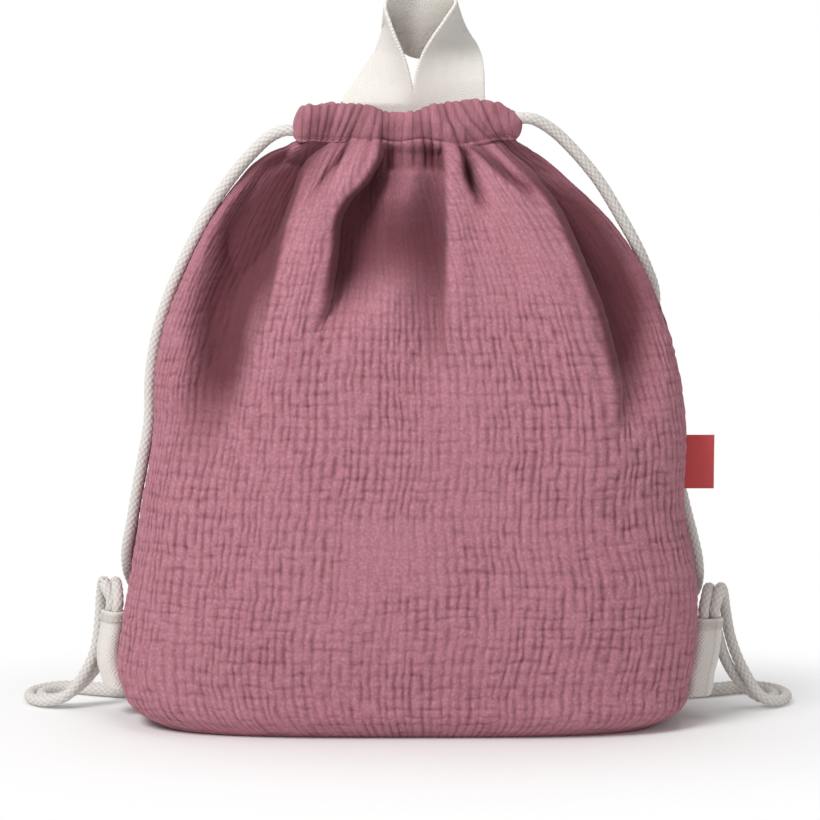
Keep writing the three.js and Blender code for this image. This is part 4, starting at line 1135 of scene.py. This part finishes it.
def gauze_material():
    made, tree, shader = new_material("gauze", 0.95, 0.08, (0.8, 0.5, 0.56, 1))
    cloth = attribute(tree, "cloth", "Vector")
    weave = plus(threads(cloth, "X", 0.0009), threads(cloth, "Y", 0.001))
    fine = cloudy(cloth, 420.0)
    broad = cloudy(cloth, 26.0)
    stretched = add_node(tree, "VectorMath", {0: cloth, 1: (1.0, 0.16, 1.0)}, operation="MULTIPLY")
    wrinkles = cloudy(stretched.outputs[0], 330.0, 4.0)
    colour = mixed(times(broad, 0.35), ROSE, ROSE_PALE)
    colour = mixed(plus(times(maths("SUBTRACT", wrinkles, 0.5), 0.7), 0.04, True), colour, ROSE_STREAK_AND_SHADE)
    parts = add_node(tree, "SeparateXYZ", {0: attribute(tree, "creases", "Vector")})
    upright = crease_lines(parts.outputs[0], parts.outputs[2], 0.34)
    level = crease_lines(parts.outputs[1], attribute(tree, "cross"), 0.28)
    crease = times(plus(upright, times(level, 0.7)), attribute(tree, "calm"))
    flecks = times(maths("SUBTRACT", cloudy(cloth, 620.0, 2.0), 0.42), 2.2, True)
    colour = mixed(flecks, colour, ROSE_PALE)
    specks = add_node(tree, "TexVoronoi", {"Vector": cloth, "Scale": 240.0, "Randomness": 1.0})
    colour = mixed(times(maths("LESS_THAN", specks.outputs["Distance"], 0.08), 0.3), colour, SPECK)
    # Painted shade: in the crinkle creases, in the creases between the gathers (gather), and in the folds,
    # near the neck and inside the bag (valley)
    for painted_shade, share in ((crease, 0.5), (attribute(tree, "gather"), 0.7), (attribute(tree, "valley"), 0.88)):
        colour = mixed(times(painted_shade, share, True), colour, ROSE_STREAK_AND_SHADE)
    height = plus(times(weave, 0.06), times(fine, 0.35))
    height = plus(height, times(wrinkles, 0.6))
    height = maths("SUBTRACT", height, times(crease, 0.5))
    finish_material(shader, colour, height, 0.5, 0.0007)
    return made


def braid_material():
    made, tree, shader = new_material("braid", 0.9, 0.2, (1, 0.97, 0.93, 1))
    fibres = cloudy(attribute(tree, "cloth", "Vector"), 900.0, 4.0)
    # Painted shade darkens the grooves between the yarns.
    colour = mixed(times(attribute(tree, "groove"), 0.85, True), COTTON, COTTON_SHADE)
    colour = mixed(times(fibres, 0.25), colour, COTTON_LIGHT)
    finish_material(shader, colour, fibres, 0.35, 0.0004)
    return made


def webbing_material():
    """Herringbone: diagonal ribs that turn back every few millimetres across the webbing."""
    made, tree, shader = new_material("webbing", 0.88, 0.15, (1, 0.97, 0.92, 1))
    cloth = attribute(tree, "cloth", "Vector")
    parts = add_node(tree, "SeparateXYZ", {0: cloth})
    ribs = plus(parts.outputs[1], maths("PINGPONG", parts.outputs[0], 0.0034))
    wave = plus(times(maths("SINE", times(ribs, 2 * math.pi / 0.0015)), 0.5), 0.5)
    fibres = cloudy(cloth, 700.0, 4.0)
    # Painted shade darkens the low ground between the ribs.
    colour = mixed(times(maths("SUBTRACT", 1.0, wave), 0.38), WEBBING, WEBBING_SHADE)
    colour = mixed(times(fibres, 0.2), colour, WEBBING_LIGHT)
    # Painted shade on a tab's hem.
    colour = mixed(times(attribute(tree, "band"), 0.45), colour, WEBBING_HEM_SHADE)
    height = plus(wave, times(fibres, 0.5))
    height = plus(height, times(threads(cloth, "X", 0.0006), 0.25))
    finish_material(shader, colour, height, 0.5, 0.0004)
    return made


def label_material():
    made, tree, shader = new_material("label", 0.6, 0.1, (1, 0.6, 0.6, 1))
    cloth = attribute(tree, "cloth", "Vector")
    ribs = threads(cloth, "Y", 0.0006)
    colour = mixed(times(ribs, 0.3), RED, RED_DEEP)
    colour = mixed(times(cloudy(cloth, 600.0), 0.18), colour, RED_LIGHT)
    finish_material(shader, colour, plus(ribs, times(threads(cloth, "X", 0.0009), 0.5)), 0.4, 0.0003)
    return made


def thread_material(name, colour, shade):
    made, tree, shader = new_material(name, 0.7, 0.1, (1, 0.9, 0.9, 1))
    twist = cloudy(add_node(tree, "TexCoord").outputs["Object"], 1800.0)
    finish_material(shader, mixed(twist, colour, shade), twist, 0.4, 0.0002)
    return made


def seen_directly(tree):
    """1 for rays that come from the camera or off a glossy face."""
    rays = add_node(tree, "LightPath")
    return plus(rays.outputs["Is Camera Ray"], rays.outputs["Is Glossy Ray"], True)


def floor_material():
    """White that takes soft shadows near the bag and passes into the white background further out."""
    made, tree, shader = new_material("floor", 0.95, 0, (1, 1, 1, 1))
    shader.inputs["Base Color"].default_value = (0.9, 0.9, 0.9, 1)
    shader.inputs["Specular IOR Level"].default_value = 0.1
    place = add_node(tree, "TexCoord").outputs["Object"]
    flat = add_node(tree, "VectorMath", {0: place, 1: (0.85, 1.5, 1.0)}, operation="MULTIPLY")
    distance = add_node(tree, "VectorMath", {0: flat.outputs[0]}, operation="LENGTH")
    inputs = {"Value": distance.outputs["Value"], "From Min": 0.1, "From Max": 0.32}
    far = add_node(tree, "MapRange", inputs, interpolation_type="SMOOTHSTEP").outputs[0]
    white = add_node(tree, "Emission", {"Color": (1, 1, 1, 1), "Strength": 1.0})
    inputs = {0: times(far, seen_directly(tree)), 1: shader.outputs[0], 2: white.outputs[0]}
    mix = add_node(tree, "MixShader", inputs)
    tree.links.new(mix.outputs[0], tree.nodes["Material Output"].inputs["Surface"])
    return made


MATERIALS = {
    "floor": floor_material,
    "gauze": gauze_material,
    "braid": braid_material,
    "webbing": webbing_material,
    "label": label_material,
    "rose_thread": lambda: thread_material("rose_thread", ROSE_THREAD, ROSE_THREAD_SHADE),
    "white_thread": lambda: thread_material("white_thread", WHITE_THREAD, WHITE_THREAD_SHADE),
}
made_materials = {}


def material(name):
    if name not in made_materials:
        made_materials[name] = MATERIALS[name]()
    return made_materials[name]


# Floor, background and lights


def make_floor():
    corners = np.array([(-1, -1, 0), (1, -1, 0), (1, 1, 0), (-1, 1, 0)])
    add_mesh("floor", FLOOR_HALF_SIZE * corners, [(0, 1, 2, 3)], "floor")


def make_world():
    """A white background, which lights the scene less than it shows."""
    world = bpy.data.worlds.new("world")
    bpy.context.scene.world = world
    world.use_nodes = True
    tree = world.node_tree
    light = tree.nodes["Background"]
    light.inputs["Color"].default_value = (1, 0.99, 0.98, 1)
    light.inputs["Strength"].default_value = WORLD_LIGHT
    white = add_node(tree, "Background", {"Color": (1, 1, 1, 1), "Strength": 1.0})
    through = add_node(tree, "LightPath").outputs["Is Transmission Ray"]
    seen = plus(seen_directly(tree), through, True)
    mix = add_node(tree, "MixShader", {0: seen, 1: light.outputs[0], 2: white.outputs[0]})
    tree.links.new(mix.outputs[0], tree.nodes["World Output"].inputs["Surface"])


def make_lamp(name, place, aim, size, power):
    data = bpy.data.lights.new(name, "AREA")
    data.shape = "DISK"
    data.size = size
    data.energy = power
    lamp = link(name, data)
    lamp.location = place
    lamp.rotation_euler = aimed(place, aim)


make_camera()
for side in SIDES:
    for half in HALVES:
        make_strand(side, half)
for side in SIDES:
    make_hidden_cord(side)
for half in HALVES:
    make_panel(half)
for half in HALVES:
    make_lining(half)
    make_channel(half)
for half in HALVES:
    make_neck_stitches(half)
make_handle()
for side in SIDES:
    make_handle_end(side)
for side in SIDES:
    make_tab(side)
    make_tab_stitches(side)
make_label()
make_floor()
make_world()
for lamp in LAMPS:
    make_lamp(**lamp)
bpy.context.scene.view_settings.view_transform = "Standard"
